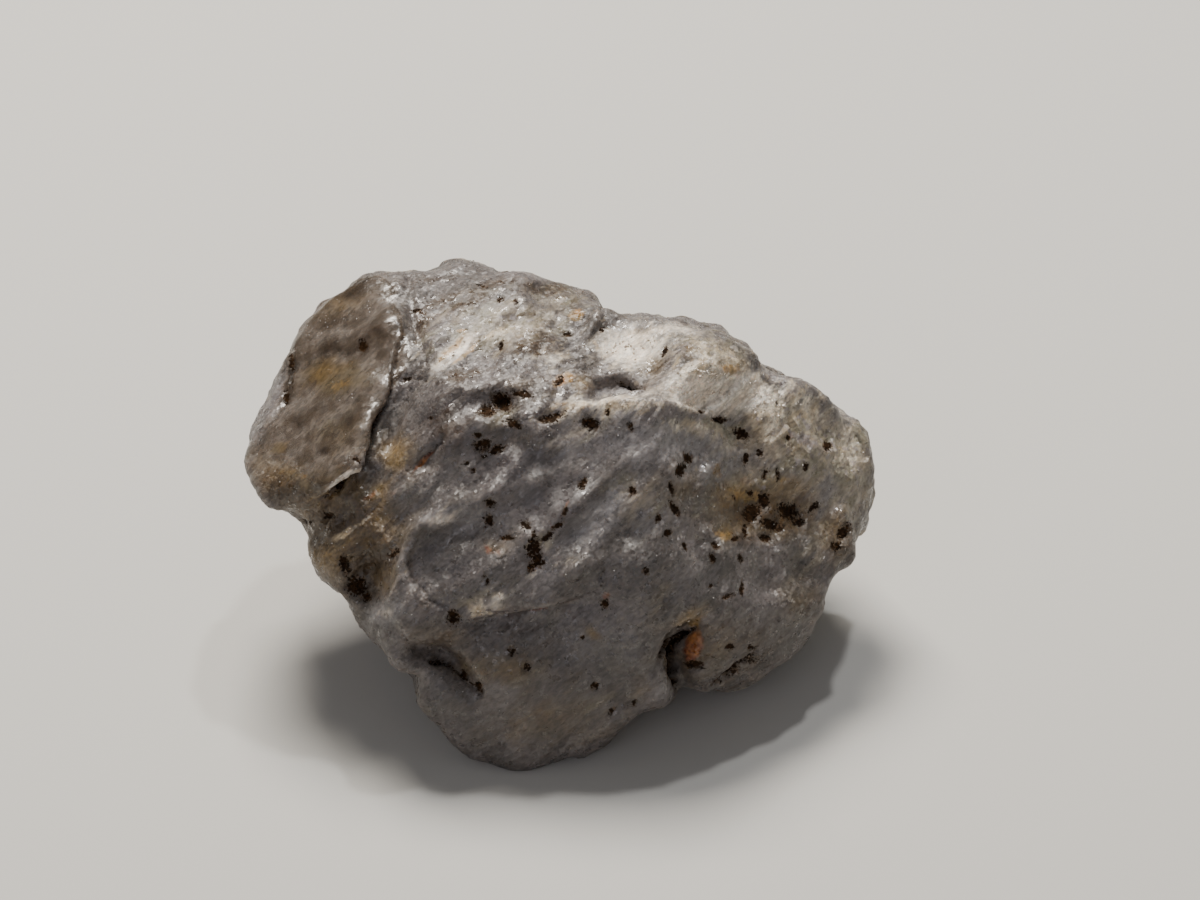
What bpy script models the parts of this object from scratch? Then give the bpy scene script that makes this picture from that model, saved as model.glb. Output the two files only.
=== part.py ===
"""A rough herderite crystal, 30 mm across: one worn, cracked lump with a flat glassy end face.

The stone is shaped upright, in millimetres about its own middle: X to the right, Y away from its
best side and Z up. It is then leaned back onto the flat base that it is cut to, and scaled to metres.
As built, +Z is up, the base is at Z = 0 and the origin is under the middle of the stone.
"""

import math

import bmesh
import bpy
import numpy as np
from mathutils import Matrix, Vector, noise

# ---------------------------------------------------------------- driving dimensions, in millimetres
MM = 0.001
FRONT_DEPTH = 9.0  # from the rim to the fullest point of the best side
BACK_DEPTH = 10.6  # from the rim to the fullest point of the back
FULLNESS = 0.8  # 1 is an egg, and less is blockier
RIM_LEAN = 0.20  # how far the rim falls back for each millimetre up
RIM_TURN = 0.12  # how far it falls back for each millimetre to the right
END_SETBACK = 1.5  # how much further the rim falls back behind the glassy end
END_ANGLE, END_SPREAD = math.radians(142), math.radians(20)  # where it does, round the outline
LEAN_BACK = math.radians(37)  # the best side looks this far above the horizon once the stone lies down
BASE_DROP = 8.4  # from the stone's middle to its base, square to the base
EYE_DISTANCE = 190.0  # the features below are placed as they look from this far in front of the middle

STEP_WIDTH = 0.22  # half the width over which a ledge drops
FORM_CELL = 0.25  # side of the cells that the broken form is drawn on
SURFACE_CELL = 0.20  # side of the cells that the carved surface is drawn on
FORM_SMOOTHING, SURFACE_SMOOTHING = 3, 1  # rounds that take the cells' steps off each of them
SPHERE_STEPS = 6  # 20,480 triangles to stretch into the form
TRIANGLES = 10000  # what the stone keeps before its base is cut
SHARP_ANGLE = math.radians(40)  # a sharper fold than this is shaded as an edge
RIM_BAND = 0.30  # how far from the rim, as a share of the depth, the outline's small corners reach
CORNER_SPREAD = math.radians(14)  # the arc over which they are evened out beyond that
WAVES = ((6.0, 0.40), (1.9, 0.16), (0.8, 0.07))  # wavelength and height of the stone's unevenness
CHIPS = ((3.2, 0.34), (1.5, 0.36))  # width and slope of the small flat faces that it is chipped to
CHIP_EDGE = 0.12  # how softly neighbouring chips meet, as a share of their width
LEVEL = Vector((0.5, 0.5, 0.5))  # the tilt of a chip that lies level
CELL_MIX = 37.0  # spreads the chips' middles over the noise, so that each takes a tilt of its own

# The outline seen from the best side, clockwise from the left tip: (x, z).
OUTLINE = (
    (-15.0, 3.0), (-13.5, 6.4), (-12.6, 8.8), (-11.4, 10.2), (-10.1, 11.1), (-8.2, 11.9),
    (-3.2, 12.1), (-2.2, 11.4), (0.1, 11.3), (1.8, 10.6), (2.0, 10.1), (2.0, 9.2),
    (3.8, 9.3), (4.5, 9.4), (5.3, 9.1), (7.4, 9.0), (8.4, 8.6), (8.9, 7.9), (9.8, 7.6), (10.6, 6.7),
    (11.5, 6.8), (12.2, 6.1), (13.9, 4.9), (14.9, 3.5), (15.1, 1.2), (14.5, -1.0), (13.0, -2.5),
    (13.0, -3.0), (12.4, -4.5), (12.3, -5.4), (10.0, -7.7), (7.7, -8.8), (6.3, -8.1),
    (5.8, -7.9), (4.8, -8.7), (3.1, -9.5), (0.2, -11.5), (-1.2, -12.0), (-3.9, -11.6),
    (-5.6, -9.9), (-6.7, -8.2), (-5.7, -6.7), (-7.2, -7.3), (-8.3, -6.0), (-9.7, -3.8),
    (-11.1, -2.9), (-12.3, -0.3), (-13.6, 0.5), (-15.0, 2.1),
)  # fmt: skip

# The flat faces that the lump is broken to: the way each looks, and its distance from the middle.
GLASSY_END = ((-0.50, -0.73, 0.50), 9.5)
FACES = {
    "best side": ((-0.08, -1.0, 0.05), 6.2),
    "upper slope": ((0.03, -0.62, 0.78), 8.0),
    "glassy end": GLASSY_END,
    "right flank": ((0.60, -0.79, 0.10), 7.8),
    "lower lobe": ((0.0, -0.91, -0.42), 6.9),
    "lower right": ((0.45, -0.70, -0.55), 8.9),
    "lower left": ((-0.55, -0.78, -0.30), 9.5),
    "back": ((0.05, 1.0, 0.16), 8.7),
    "back slope": ((0.10, 0.78, 0.62), 10.4),
    "back left": ((-0.62, 0.78, 0.10), 11.4),
    "back right": ((0.68, 0.72, -0.05), 13.0),
    "heel": ((-0.16, 0.95, -0.26), 9.7),
}

# Steps in the best side. The stone is higher on the left of each path as it is walked, and each corner
# gives (x, z, step). After the path come the share of the step that rises above the surface, and the
# reaches over which the rise and the drop beside it fade out.
LEDGES = {
    "edge of the glassy end": (
        ((-12.4, 0.4, 0.1), (-11.2, 1.1, 0.8), (-10.0, 1.8, 1.3), (-9.3, 2.2, 1.4), (-8.8, 4.0, 1.2),
         (-7.9, 6.2, 0.7), (-7.4, 8.5, 0.5), (-7.1, 10.0, 0.4), (-7.4, 11.6, 0.2)),
        0.25, 2.4, 2.0,
    ),
    "brow over the lower lobe": (
        ((-4.7, -4.9, 0.3), (-3.8, -4.6, 1.0), (-2.9, -4.3, 1.1), (-1.4, -4.3, 0.9), (0.0, -4.1, 0.8),
         (1.4, -3.9, 0.5), (3.2, -3.5, 0.1)),
        0.55, 1.3, 1.6,
    ),
    "left shoulder": (
        ((-5.6, 0.6, 0.1), (-7.3, -0.7, 0.5), (-7.9, -2.2, 0.8), (-8.2, -4.0, 0.8), (-7.4, -5.0, 0.3)),
        0.45, 1.4, 1.6,
    ),
    "crest of the upper slope": (
        ((9.6, 2.6, 0.1), (7.0, 5.2, 0.5), (4.0, 6.0, 0.6), (1.4, 5.9, 0.6), (-0.6, 5.2, 0.4),
         (-3.4, 5.0, 0.3), (-5.4, 5.6, 0.1)),
        0.4, 1.4, 1.4,
    ),
    "hump above the white hollow": (
        ((2.2, 10.4, 0.9), (1.4, 8.8, 0.7), (0.4, 7.6, 0.4), (-0.2, 6.6, 0.1)),
        0.6, 2.0, 1.6,
    ),
}  # fmt: skip

# Folds that run across the best side: a path of (x, z, height), and the fold's half width.
FOLDS = {
    "long fold": (
        ((-5.8, -4.0, 0.1), (-3.8, -2.9, 0.4), (-1.9, -1.9, 0.45), (0.0, -0.2, 0.5), (1.9, 1.4, 0.5),
         (3.8, 2.8, 0.4), (5.6, 4.3, 0.1)), 0.75,
    ),
    "short fold": (
        ((-7.8, -1.6, 0.2), (-6.2, -0.3, 0.4), (-4.7, 0.5, 0.45), (-2.8, 1.2, 0.4), (-0.8, 1.7, 0.1)), 0.6,
    ),
    "under fold": (
        ((-0.2, -3.6, 0.1), (1.4, -1.6, 0.35), (3.2, 0.4, 0.4), (4.8, 2.2, 0.3), (5.2, 3.4, 0.1)), 0.7,
    ),
    "right crease": (((5.0, 2.4, 0.1), (4.8, 0.0, 0.35), (4.3, -2.4, 0.3), (3.9, -4.8, 0.1)), 0.8),
    "left fold": (((-7.0, 2.6, 0.1), (-5.4, 3.2, 0.35), (-3.6, 4.2, 0.3), (-2.0, 4.6, 0.1)), 0.6),
    "end step": (((-12.9, 7.2, 0.2), (-11.0, 7.9, 0.35), (-8.6, 8.9, 0.3), (-7.6, 9.3, 0.1)), 0.4),
    "end ripple": (((-12.6, 5.0, 0.05), (-10.4, 5.9, 0.2), (-8.6, 6.2, 0.15)), 0.5),
}  # fmt: skip

# Open cracks in the best side: a path of (x, z, depth), and the crack's half width.
CRACKS = {
    "beside the glassy end": (
        ((-11.4, 0.9, 0.3), (-10.2, 1.5, 1.3), (-9.4, 2.1, 1.6), (-8.9, 3.6, 1.2), (-8.3, 5.2, 0.7),
         (-7.6, 6.6, 0.2)), 0.28,
    ),
    "between the lobes": (
        ((6.9, -5.0, 0.2), (6.2, -5.6, 1.3), (5.8, -6.4, 1.9), (5.7, -7.4, 2.1), (5.9, -8.4, 2.0)), 0.42,
    ),
    "branch of that crack": (((6.2, -5.5, 1.3), (5.4, -5.9, 1.2), (4.9, -6.8, 0.3)), 0.32),
    "left notch": (
        ((-7.0, -6.4, 1.4), (-5.6, -6.8, 1.9), (-4.9, -7.4, 1.4), (-4.2, -8.2, 0.8), (-3.9, -8.7, 0.1)), 0.36,
    ),
    "slot in the upper slope": (
        ((1.0, 5.9, 0.2), (1.9, 6.2, 0.7), (2.9, 6.4, 0.7), (3.8, 6.1, 0.2)), 0.40,
    ),
    "rusty crack": (((-7.2, 1.9, 0.2), (-6.4, 2.6, 0.6), (-5.8, 3.2, 0.5), (-5.4, 3.7, 0.1)), 0.28),
}  # fmt: skip

# Swellings and hollows: where each is, its half width along and across, its turn in degrees, and its
# height, which is below zero for a hollow.
FRONT_SWELLINGS = {
    "hump": (-2.0, 9.6, 3.2, 1.6, -8, 0.7),
    "white hollow": (3.0, 7.8, 2.2, 1.4, 10, -0.6),
    "knob": (11.3, 6.2, 0.9, 0.8, 0, 0.5),
    "right knob": (9.2, 6.4, 1.6, 1.1, -20, 0.45),
    "middle knob": (6.4, 7.6, 1.6, 1.2, 0, 0.5),
    "right end": (12.6, 1.4, 2.4, 3.4, 0, 0.4),
    "lower lobe": (-1.6, -8.2, 4.6, 2.6, 10, 0.7),
    "right lobe": (8.4, -6.0, 2.8, 1.9, 25, 0.8),
    "left knuckle": (-7.0, -5.0, 1.4, 1.6, 10, 0.35),
    "dark hollow": (-9.6, -3.0, 0.7, 1.1, -15, -1.3),
    "dip beside the end": (-7.0, 4.0, 1.6, 2.6, -20, -0.5),
    "dip under the end": (-10.4, -0.2, 1.8, 0.9, -25, -0.5),
    "rusty hollow": (9.8, -0.4, 2.2, 1.3, 0, -0.4),
    "pit in the valley": (-0.9, -1.3, 0.5, 1.0, -10, -0.6),
    "left pits": (-3.0, 5.5, 1.0, 0.45, 0, -0.5),
    "long pit": (-0.5, 4.8, 0.8, 0.3, 8, -0.4),
}
BACK_SWELLINGS = {
    "back ridge": (-4.0, 3.0, 2.0, 7.0, 24, 0.9),
    "back scoop": (3.6, 4.6, 4.2, 3.0, -20, -1.1),
    "lower scoop": (-9.0, -1.0, 3.0, 2.4, 40, -0.9),
    "back knuckle": (8.6, -1.6, 3.0, 2.0, -30, 0.9),
    "top shelf": (-7.6, 8.4, 3.2, 1.4, 10, 0.6),
}
BACK_LEDGES = {
    "back step": (
        ((-11.0, 5.6, 0.3), (-6.8, 6.4, 0.7), (-2.6, 5.0, 0.8), (0.6, 1.8, 0.7), (2.0, -2.2, 0.4),
         (1.6, -5.4, 0.1)),
        0.5, 1.8, 1.6,
    ),
    "right step": (
        ((12.4, 3.6, 0.3), (8.4, 2.8, 0.8), (5.6, 0.4, 0.8), (4.8, -3.2, 0.3)),
        0.5, 1.6, 1.4,
    ),
}  # fmt: skip
BACK_FOLDS = {
    "high back fold": (((-9.0, 9.4, 0.2), (-3.8, 8.6, 0.5), (1.4, 7.8, 0.4), (6.0, 6.8, 0.2)), 0.8),
}
BACK_CRACKS = {
    "back crack": (
        ((-12.0, 2.4, 0.2), (-9.4, 1.6, 0.9), (-7.2, -0.6, 1.2), (-5.6, -3.4, 0.6)), 0.34,
    ),
}  # fmt: skip


# Where the surface is calmer than elsewhere: (x, z), half widths, turn, and how calm, up to 1.
CALM = {
    "lower lobe": (-0.6, -8.4, 5.0, 3.0, 10, 0.55),
    "right lobe": (8.6, -5.6, 3.0, 2.2, 25, 0.4),
    "white patch": (3.0, 7.6, 2.4, 1.6, 10, 0.6),
}
GLASSY_CALM = 0.86  # how calm the glassy end is


def outline_radius(angles):
    """How far the outline lies from the stone's middle in each direction round the best side."""
    corners = np.array(OUTLINE)
    corner_angles = np.arctan2(corners[:, 1], corners[:, 0])
    order = np.argsort(corner_angles)
    radii = np.hypot(corners[:, 0], corners[:, 1])
    return np.interp(angles, corner_angles[order], radii[order], period=2 * math.pi)


def rounded_lump(directions):
    """A sphere's directions stretched to the outline and the depths, with the rim falling back."""
    x, y, z = directions.T
    angle = np.arctan2(z, x)
    across = np.hypot(x, z) ** FULLNESS
    turns = np.linspace(-CORNER_SPREAD, CORNER_SPREAD, 9)
    evened = np.mean([outline_radius(angle + turn) for turn in turns], axis=0)
    near_rim = np.exp(-((y / RIM_BAND) ** 2))
    reach = (evened + (outline_radius(angle) - evened) * near_rim) * across
    lump_x, lump_z = reach * np.cos(angle), reach * np.sin(angle)
    from_end = np.angle(np.exp(1j * (angle - END_ANGLE))) / END_SPREAD
    rim = RIM_LEAN * lump_z + RIM_TURN * lump_x + END_SETBACK * across * np.exp(-(from_end**2))
    depth = np.where(y < 0, FRONT_DEPTH, BACK_DEPTH) * np.sign(y) * np.abs(y) ** FULLNESS
    return np.column_stack([lump_x, depth + rim, lump_z])


def height_over(face, points):
    """How far each point stands out from the plane of a face."""
    looks, distance = face
    return points @ np.array(Vector(looks).normalized()) - distance


def break_to_faces(points):
    """Draws every point towards the middle until it lies behind all the faces."""
    share = np.ones(len(points))
    for looks, distance in FACES.values():
        out = height_over((looks, 0.0), points)
        share = np.minimum(share, distance / np.maximum(out, distance))
    return points * share[:, None]


def smooth_step(low, high, value):
    t = np.clip((value - low) / (high - low), 0, 1)
    return t * t * (3 - 2 * t)


def beside_path(path, x, z):
    """Each point's distance from a path, its side (1 is the left), and the third number of the
    path's corners, read at the nearest place on the path."""
    nearest = np.full(len(x), np.inf)
    side, value = np.zeros(len(x)), np.zeros(len(x))
    for (x0, z0, value0), (x1, z1, value1) in zip(path[:-1], path[1:]):
        length = math.hypot(x1 - x0, z1 - z0)
        way_x, way_z = (x1 - x0) / length, (z1 - z0) / length
        run = np.clip((x - x0) * way_x + (z - z0) * way_z, 0, length)
        off = np.hypot(x - x0 - run * way_x, z - z0 - run * way_z)
        closer = off < nearest
        nearest = np.where(closer, off, nearest)
        side = np.where(closer, np.sign(way_x * (z - z0) - way_z * (x - x0)), side)
        value = np.where(closer, value0 + (value1 - value0) * run / length, value)
    return nearest, side, value


def relief(x, z, ledges, folds, cracks, swellings):
    """How far one side of the stone stands out at each place, seen from that side."""
    out = np.zeros(len(x))
    for path, share_up, reach_up, reach_down in ledges.values():
        off, side, step = beside_path(path, x, z)
        up = share_up * np.exp(-off / reach_up)
        down = (share_up - 1) * np.exp(-off / reach_down)
        upper = smooth_step(-STEP_WIDTH, STEP_WIDTH, off * side)
        out += step * (down + (up - down) * upper)
    for path, half_width in folds.values():
        off, _, height = beside_path(path, x, z)
        out += height * np.exp(-((off / half_width) ** 2))
    for path, half_width in cracks.values():
        off, _, depth = beside_path(path, x, z)
        out -= depth * np.exp(-((off / half_width) ** 2))
    for swelling in swellings.values():
        out += spot_at(x, z, swelling)
    return out


def read_points(mesh):
    found = np.empty(len(mesh.vertices) * 3, np.float32)
    mesh.vertices.foreach_get("co", found)
    return found.reshape(-1, 3).astype(float)


def write_points(mesh, points):
    mesh.vertices.foreach_set("co", points.astype(np.float32).ravel())
    mesh.update()


def read_normals(mesh):
    found = np.empty(len(mesh.vertices) * 3, np.float32)
    mesh.vertex_normals.foreach_get("vector", found)
    return found.reshape(-1, 3).astype(float)


def spot_at(x, z, spot):
    """1 in the middle of a spot, fading to 0 round it, times the spot's own value."""
    middle_x, middle_z, half_along, half_across, turn, value = spot
    c, s = math.cos(math.radians(turn)), math.sin(math.radians(turn))
    along = ((x - middle_x) * c + (z - middle_z) * s) / half_along
    over = ((z - middle_z) * c - (x - middle_x) * s) / half_across
    return value * np.exp(-(along**2 + over**2))


def waves_at(point):
    """The height of the stone's unevenness: waves of several sizes laid over each other."""
    return sum(height * noise.noise(point / length) for length, height in WAVES)


def chips_at(point):
    """The height of the chipped surface: a flat face at its own tilt round each scattered spot."""
    out = 0.0
    for width, slope in CHIPS:
        distances, spots = noise.voronoi(point / width)
        near, next_to = (
            (point / width - spot).dot(noise.cell_vector(spot * CELL_MIX) - LEVEL) for spot in spots[:2]
        )
        blend = min(1.0, 0.5 + 0.5 * (distances[1] - distances[0]) / CHIP_EDGE)
        out += slope * width * (next_to + (near - next_to) * blend)
    return out


def roughness_at(points):
    return np.array([waves_at(Vector(p)) + chips_at(Vector(p)) for p in points])


def smooth(mesh, rounds):
    bm = bmesh.new()
    bm.from_mesh(mesh)
    for _ in range(rounds):
        bmesh.ops.smooth_vert(
            bm, verts=bm.verts, factor=0.5, use_axis_x=True, use_axis_y=True, use_axis_z=True
        )
    bm.to_mesh(mesh)
    bm.free()


def apply_modifiers(stone):
    """Keeps the shape that the stone's modifiers give it, as its own mesh."""
    seen = stone.evaluated_get(bpy.context.evaluated_depsgraph_get())
    mesh = bpy.data.meshes.new_from_object(seen)
    stone.modifiers.clear()
    stone.data = mesh


def redraw_on_cells(stone, side):
    """Draws the whole surface afresh on cells of one size."""
    cells = stone.modifiers.new("Cells", "REMESH")
    cells.mode = "VOXEL"
    cells.voxel_size = side
    apply_modifiers(stone)


def keep_triangles(stone, count):
    """Takes out triangles where the surface is flattest, until this many are left."""
    fewer = stone.modifiers.new("Fewer triangles", "DECIMATE")
    fewer.ratio = count / sum(len(face.vertices) - 2 for face in stone.data.polygons)
    fewer.use_collapse_triangulate = True
    apply_modifiers(stone)


def make_form(stone):
    """The stone's whole form: its outline and depth, broken to the flat faces."""
    bm = bmesh.new()
    bmesh.ops.create_icosphere(bm, subdivisions=SPHERE_STEPS, radius=1.0)
    bm.to_mesh(stone.data)
    bm.free()
    write_points(stone.data, break_to_faces(rounded_lump(read_points(stone.data))))
    redraw_on_cells(stone, FORM_CELL)
    smooth(stone.data, FORM_SMOOTHING)


def carve(stone):
    """Moves the surface in and out: ledges, folds, cracks and swellings, and its roughness."""
    points, normals = read_points(stone.data), read_normals(stone.data)
    nearness = 1 + points[:, 1] / EYE_DISTANCE
    x, z = points[:, 0] / nearness, points[:, 2] / nearness
    front, back = smooth_step(0.0, 0.4, -normals[:, 1]), smooth_step(0.0, 0.4, normals[:, 1])
    out = relief(x, z, LEDGES, FOLDS, CRACKS, FRONT_SWELLINGS) * front
    out += relief(x, z, BACK_LEDGES, BACK_FOLDS, BACK_CRACKS, BACK_SWELLINGS) * back
    glassy = smooth_step(-0.35, -0.1, height_over(GLASSY_END, points))
    calm = GLASSY_CALM * glassy
    for spot in CALM.values():
        calm = np.maximum(calm, spot_at(x, z, spot) * front)
    out += roughness_at(points) * (1 - calm)
    write_points(stone.data, points + normals * out[:, None])
    redraw_on_cells(stone, SURFACE_CELL)
    smooth(stone.data, SURFACE_SMOOTHING)


def lay_down(stone):
    """Leans the stone back, cuts it flat where it lies, and puts the origin under its middle."""
    bm = bmesh.new()
    bm.from_mesh(stone.data)
    bmesh.ops.transform(bm, matrix=Matrix.Rotation(-LEAN_BACK, 4, "X"), verts=bm.verts)
    cut = bmesh.ops.bisect_plane(
        bm,
        geom=bm.verts[:] + bm.edges[:] + bm.faces[:],
        plane_co=(0, 0, -BASE_DROP),
        plane_no=(0, 0, -1),
        clear_outer=True,
    )
    rim = [edge for edge in cut["geom_cut"] if isinstance(edge, bmesh.types.BMEdge)]
    bmesh.ops.edgeloop_fill(bm, edges=rim)
    bmesh.ops.remove_doubles(bm, verts=bm.verts, dist=0.02)
    bmesh.ops.triangulate(bm, faces=bm.faces)
    lowest = [min(vert.co[axis] for vert in bm.verts) for axis in range(3)]
    highest = [max(vert.co[axis] for vert in bm.verts) for axis in range(3)]
    middle = [(low + high) / 2 for low, high in zip(lowest, highest)]
    bmesh.ops.translate(bm, vec=(-middle[0], -middle[1], -lowest[2]), verts=bm.verts)
    bmesh.ops.scale(bm, vec=(MM, MM, MM), verts=bm.verts)
    bmesh.ops.recalc_face_normals(bm, faces=bm.faces)
    bm.to_mesh(stone.data)
    bm.free()


def stone_material():
    """Smoky, iron-stained herderite: grey, half clear and glassy where it is fresh."""
    material = bpy.data.materials.new("Smoky herderite")
    material.use_nodes = True
    shader = material.node_tree.nodes["Principled BSDF"]
    shader.inputs["Base Color"].default_value = (0.19, 0.165, 0.145, 1.0)
    shader.inputs["Roughness"].default_value = 0.42
    shader.inputs["Metallic"].default_value = 0.0
    shader.inputs["IOR"].default_value = 1.60
    shader.inputs["Transmission Weight"].default_value = 0.15
    return material


def main():
    for old in list(bpy.data.objects):
        bpy.data.objects.remove(old)
    collection = bpy.data.collections.new("Herderite crystal")
    bpy.context.scene.collection.children.link(collection)
    stone = bpy.data.objects.new("herderite_crystal", bpy.data.meshes.new("herderite_crystal"))
    collection.objects.link(stone)
    make_form(stone)
    carve(stone)
    keep_triangles(stone, TRIANGLES)
    lay_down(stone)
    stone.data.materials.append(stone_material())
    stone.data.shade_smooth()
    stone.data.set_sharp_from_angle(angle=SHARP_ANGLE)


main()
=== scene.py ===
"""A rough herderite crystal, 30 mm across: the surface, colours and glassiness of one worn stone.

The stone is shaped in the same upright frame as the solid it replaces, in millimetres about its own
middle: X to the right, Y away from its best side and Z up. Its marks are placed in best-side places:
21 to the millimetre, X to the right and Y down, as they look from in front with perspective.
"""

import math

import bmesh
import bpy
import numpy as np
from mathutils import Matrix, Vector, noise


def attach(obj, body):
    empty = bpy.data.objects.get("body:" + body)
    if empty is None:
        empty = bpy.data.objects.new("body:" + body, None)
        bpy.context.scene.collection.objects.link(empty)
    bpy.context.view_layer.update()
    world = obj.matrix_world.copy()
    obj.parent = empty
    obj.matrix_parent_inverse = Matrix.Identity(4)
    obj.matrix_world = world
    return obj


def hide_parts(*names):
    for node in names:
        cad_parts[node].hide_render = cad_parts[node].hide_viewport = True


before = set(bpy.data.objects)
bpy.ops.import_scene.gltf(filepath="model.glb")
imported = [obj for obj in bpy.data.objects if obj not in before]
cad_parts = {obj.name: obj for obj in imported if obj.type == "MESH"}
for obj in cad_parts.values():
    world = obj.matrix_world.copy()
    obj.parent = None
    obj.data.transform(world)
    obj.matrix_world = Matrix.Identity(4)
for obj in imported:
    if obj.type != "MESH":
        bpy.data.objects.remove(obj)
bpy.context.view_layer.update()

# ------------------------------------------------------------------------------ sizes, in millimetres
MM = 0.001
LEAN_BACK = math.radians(37)  # the best side looks this far above the horizon
MIDDLE = Vector((-0.10, -1.70, 8.40))  # the stone's middle, where it lies
PLACES_PER_MM = 21.0  # best-side places in one millimetre
MIDDLE_PLACE = (560.0, 515.0)  # the best-side place of the stone's middle
VIEW_WIDTH, VIEW_HEIGHT = 1200.0, 900.0  # the whole view, in best-side places
LENS, SENSOR = 120.0, 36.0
EYE_DISTANCE = VIEW_WIDTH / PLACES_PER_MM * LENS / SENSOR

CELL = 0.163  # side of the cells that the surface is drawn on
FACET_SMOOTHING = 10  # rounds that even out the solid's own triangles
TURN_SMOOTHING = 2  # rounds that even out the way that the relief stands on them
SAME_PLACE = 0.01  # corners nearer than this are one corner
FLAT_BASE = (0.05, 0.7)  # the relief comes in between these heights above the base
CLEAN_BASE = (0.8, 2.0)  # grains and infill come in between these

# ------------------------------------------------------------------------- marks, in best-side places
# fmt: off
# Ledges: a path of (x, y, step in mm), and the reaches of the rise and of the drop in mm. The surface is
# higher on the left of the path as it is walked.
LEDGES = {
    "edge of the glassy end": (
        ((318, 496, 0.1), (330, 489, 0.3), (350, 478, 0.45), (366, 468, 0.5), (375, 432, 0.5),
         (385, 404, 0.35), (392, 378, 0.2), (400, 345, 0.12), (406, 312, 0.1), (402, 285, 0.1)),
        0.9, 0.5,
    ),
    "brow over the lower lobe": (
        ((462, 617, 0.1), (478, 619, 0.4), (500, 612, 0.45), (530, 606, 0.4), (556, 602, 0.25),
         (590, 592, 0.1)),
        0.5, 0.9,
    ),
    "left shoulder": (
        ((440, 503, 0.05), (408, 528, 0.1), (402, 556, 0.15), (397, 580, 0.15), (384, 602, 0.1)), 0.6, 0.7
    ),
    "crest of the upper slope": (
        ((740, 452, 0.1), (706, 412, 0.25), (662, 398, 0.3), (620, 396, 0.3), (584, 406, 0.3),
         (560, 418, 0.2), (520, 424, 0.1)),
        0.45, 0.5,
    ),
    "bright cleavage edge": (
        ((752, 376, 0.1), (736, 386, 0.3), (720, 399, 0.3), (706, 411, 0.2)), 0.4, 0.5,
    ),
    "hump": (((574, 352, 0.1), (590, 338, 0.25), (600, 320, 0.35), (604, 298, 0.35)), 0.7, 0.5),
    "left of the hump": (
        ((414, 268, 0.2), (412, 300, 0.25), (420, 330, 0.2), (432, 352, 0.15), (452, 370, 0.1)), 0.5, 0.5
    ),
}

# Folds: a path of (x, y, height in mm), and the half width in mm.
FOLDS = {
    "upper long fold": (
        ((372, 560, 0.05), (396, 545, 0.22), (430, 520, 0.26), (462, 505, 0.2), (500, 490, 0.1),
         (545, 474, 0.02)), 0.22,
    ),
    "middle long fold": (
        ((428, 604, 0.05), (446, 594, 0.2), (480, 572, 0.22), (518, 552, 0.2), (560, 521, 0.16),
         (600, 484, 0.2), (640, 452, 0.2), (682, 424, 0.08)), 0.22,
    ),
    "lower long fold": (
        ((500, 596, 0.05), (556, 590, 0.16), (584, 556, 0.18), (606, 530, 0.2), (640, 494, 0.2),
         (664, 466, 0.08)), 0.2,
    ),
    "pale crest": (
        ((424, 516, 0.1), (430, 526, 0.35), (442, 527, 0.4), (452, 515, 0.3), (466, 508, 0.1)), 0.16,
    ),
    "left ridge": (((410, 536, 0.02), (406, 556, 0.1), (403, 578, 0.08), (410, 596, 0.02)), 0.2),
    "pale lump": (((372, 606, 0.1), (388, 612, 0.3), (404, 610, 0.1)), 0.4),
    "bright brow crest": (((470, 612, 0.1), (480, 609, 0.32), (498, 600, 0.28), (512, 594, 0.1)), 0.34),
    "streak": (((560, 566, 0.05), (590, 534, 0.12), (620, 506, 0.14), (652, 476, 0.06)), 0.12),
    "second streak": (((470, 470, 0.02), (498, 456, 0.06), (530, 446, 0.06), (566, 440, 0.02)), 0.14),
    "third streak": (((506, 476, 0.02), (530, 462, 0.06), (560, 450, 0.05), (590, 446, 0.02)), 0.1),
    "right crease": (((668, 478, 0.04), (660, 520, 0.14), (650, 572, 0.14), (640, 622, 0.06)), 0.3),
    "fill in the left notch": (((450, 668, 0.2), (462, 676, 0.6), (476, 690, 0.6), (486, 700, 0.3)), 0.3),
    "thin upright edge": (((618, 628, 0.05), (621, 644, 0.16), (622, 662, 0.05)), 0.1),
    "end step": (((284, 366, 0.05), (320, 350, 0.12), (372, 330, 0.14), (396, 318, 0.05)), 0.16),
    "end ripple": (((300, 404, 0.04), (330, 404, 0.1), (352, 396, 0.1), (372, 398, 0.04)), 0.12),
    "second end ripple": (((306, 362, 0.03), (332, 364, 0.07), (362, 360, 0.04)), 0.14),
    "end rim": (((298, 350, 0.02), (286, 374, 0.08), (276, 404, 0.08), (262, 432, 0.02)), 0.26),
    "leaf ribs": (((438, 364, 0.1), (454, 352, 0.3), (476, 338, 0.15)), 0.1),
    "upper leaf rib": (((436, 356, 0.1), (450, 344, 0.26), (468, 332, 0.1)), 0.08),
    "leaf rib": (((444, 368, 0.1), (460, 358, 0.26), (478, 346, 0.1)), 0.08),
}

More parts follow.
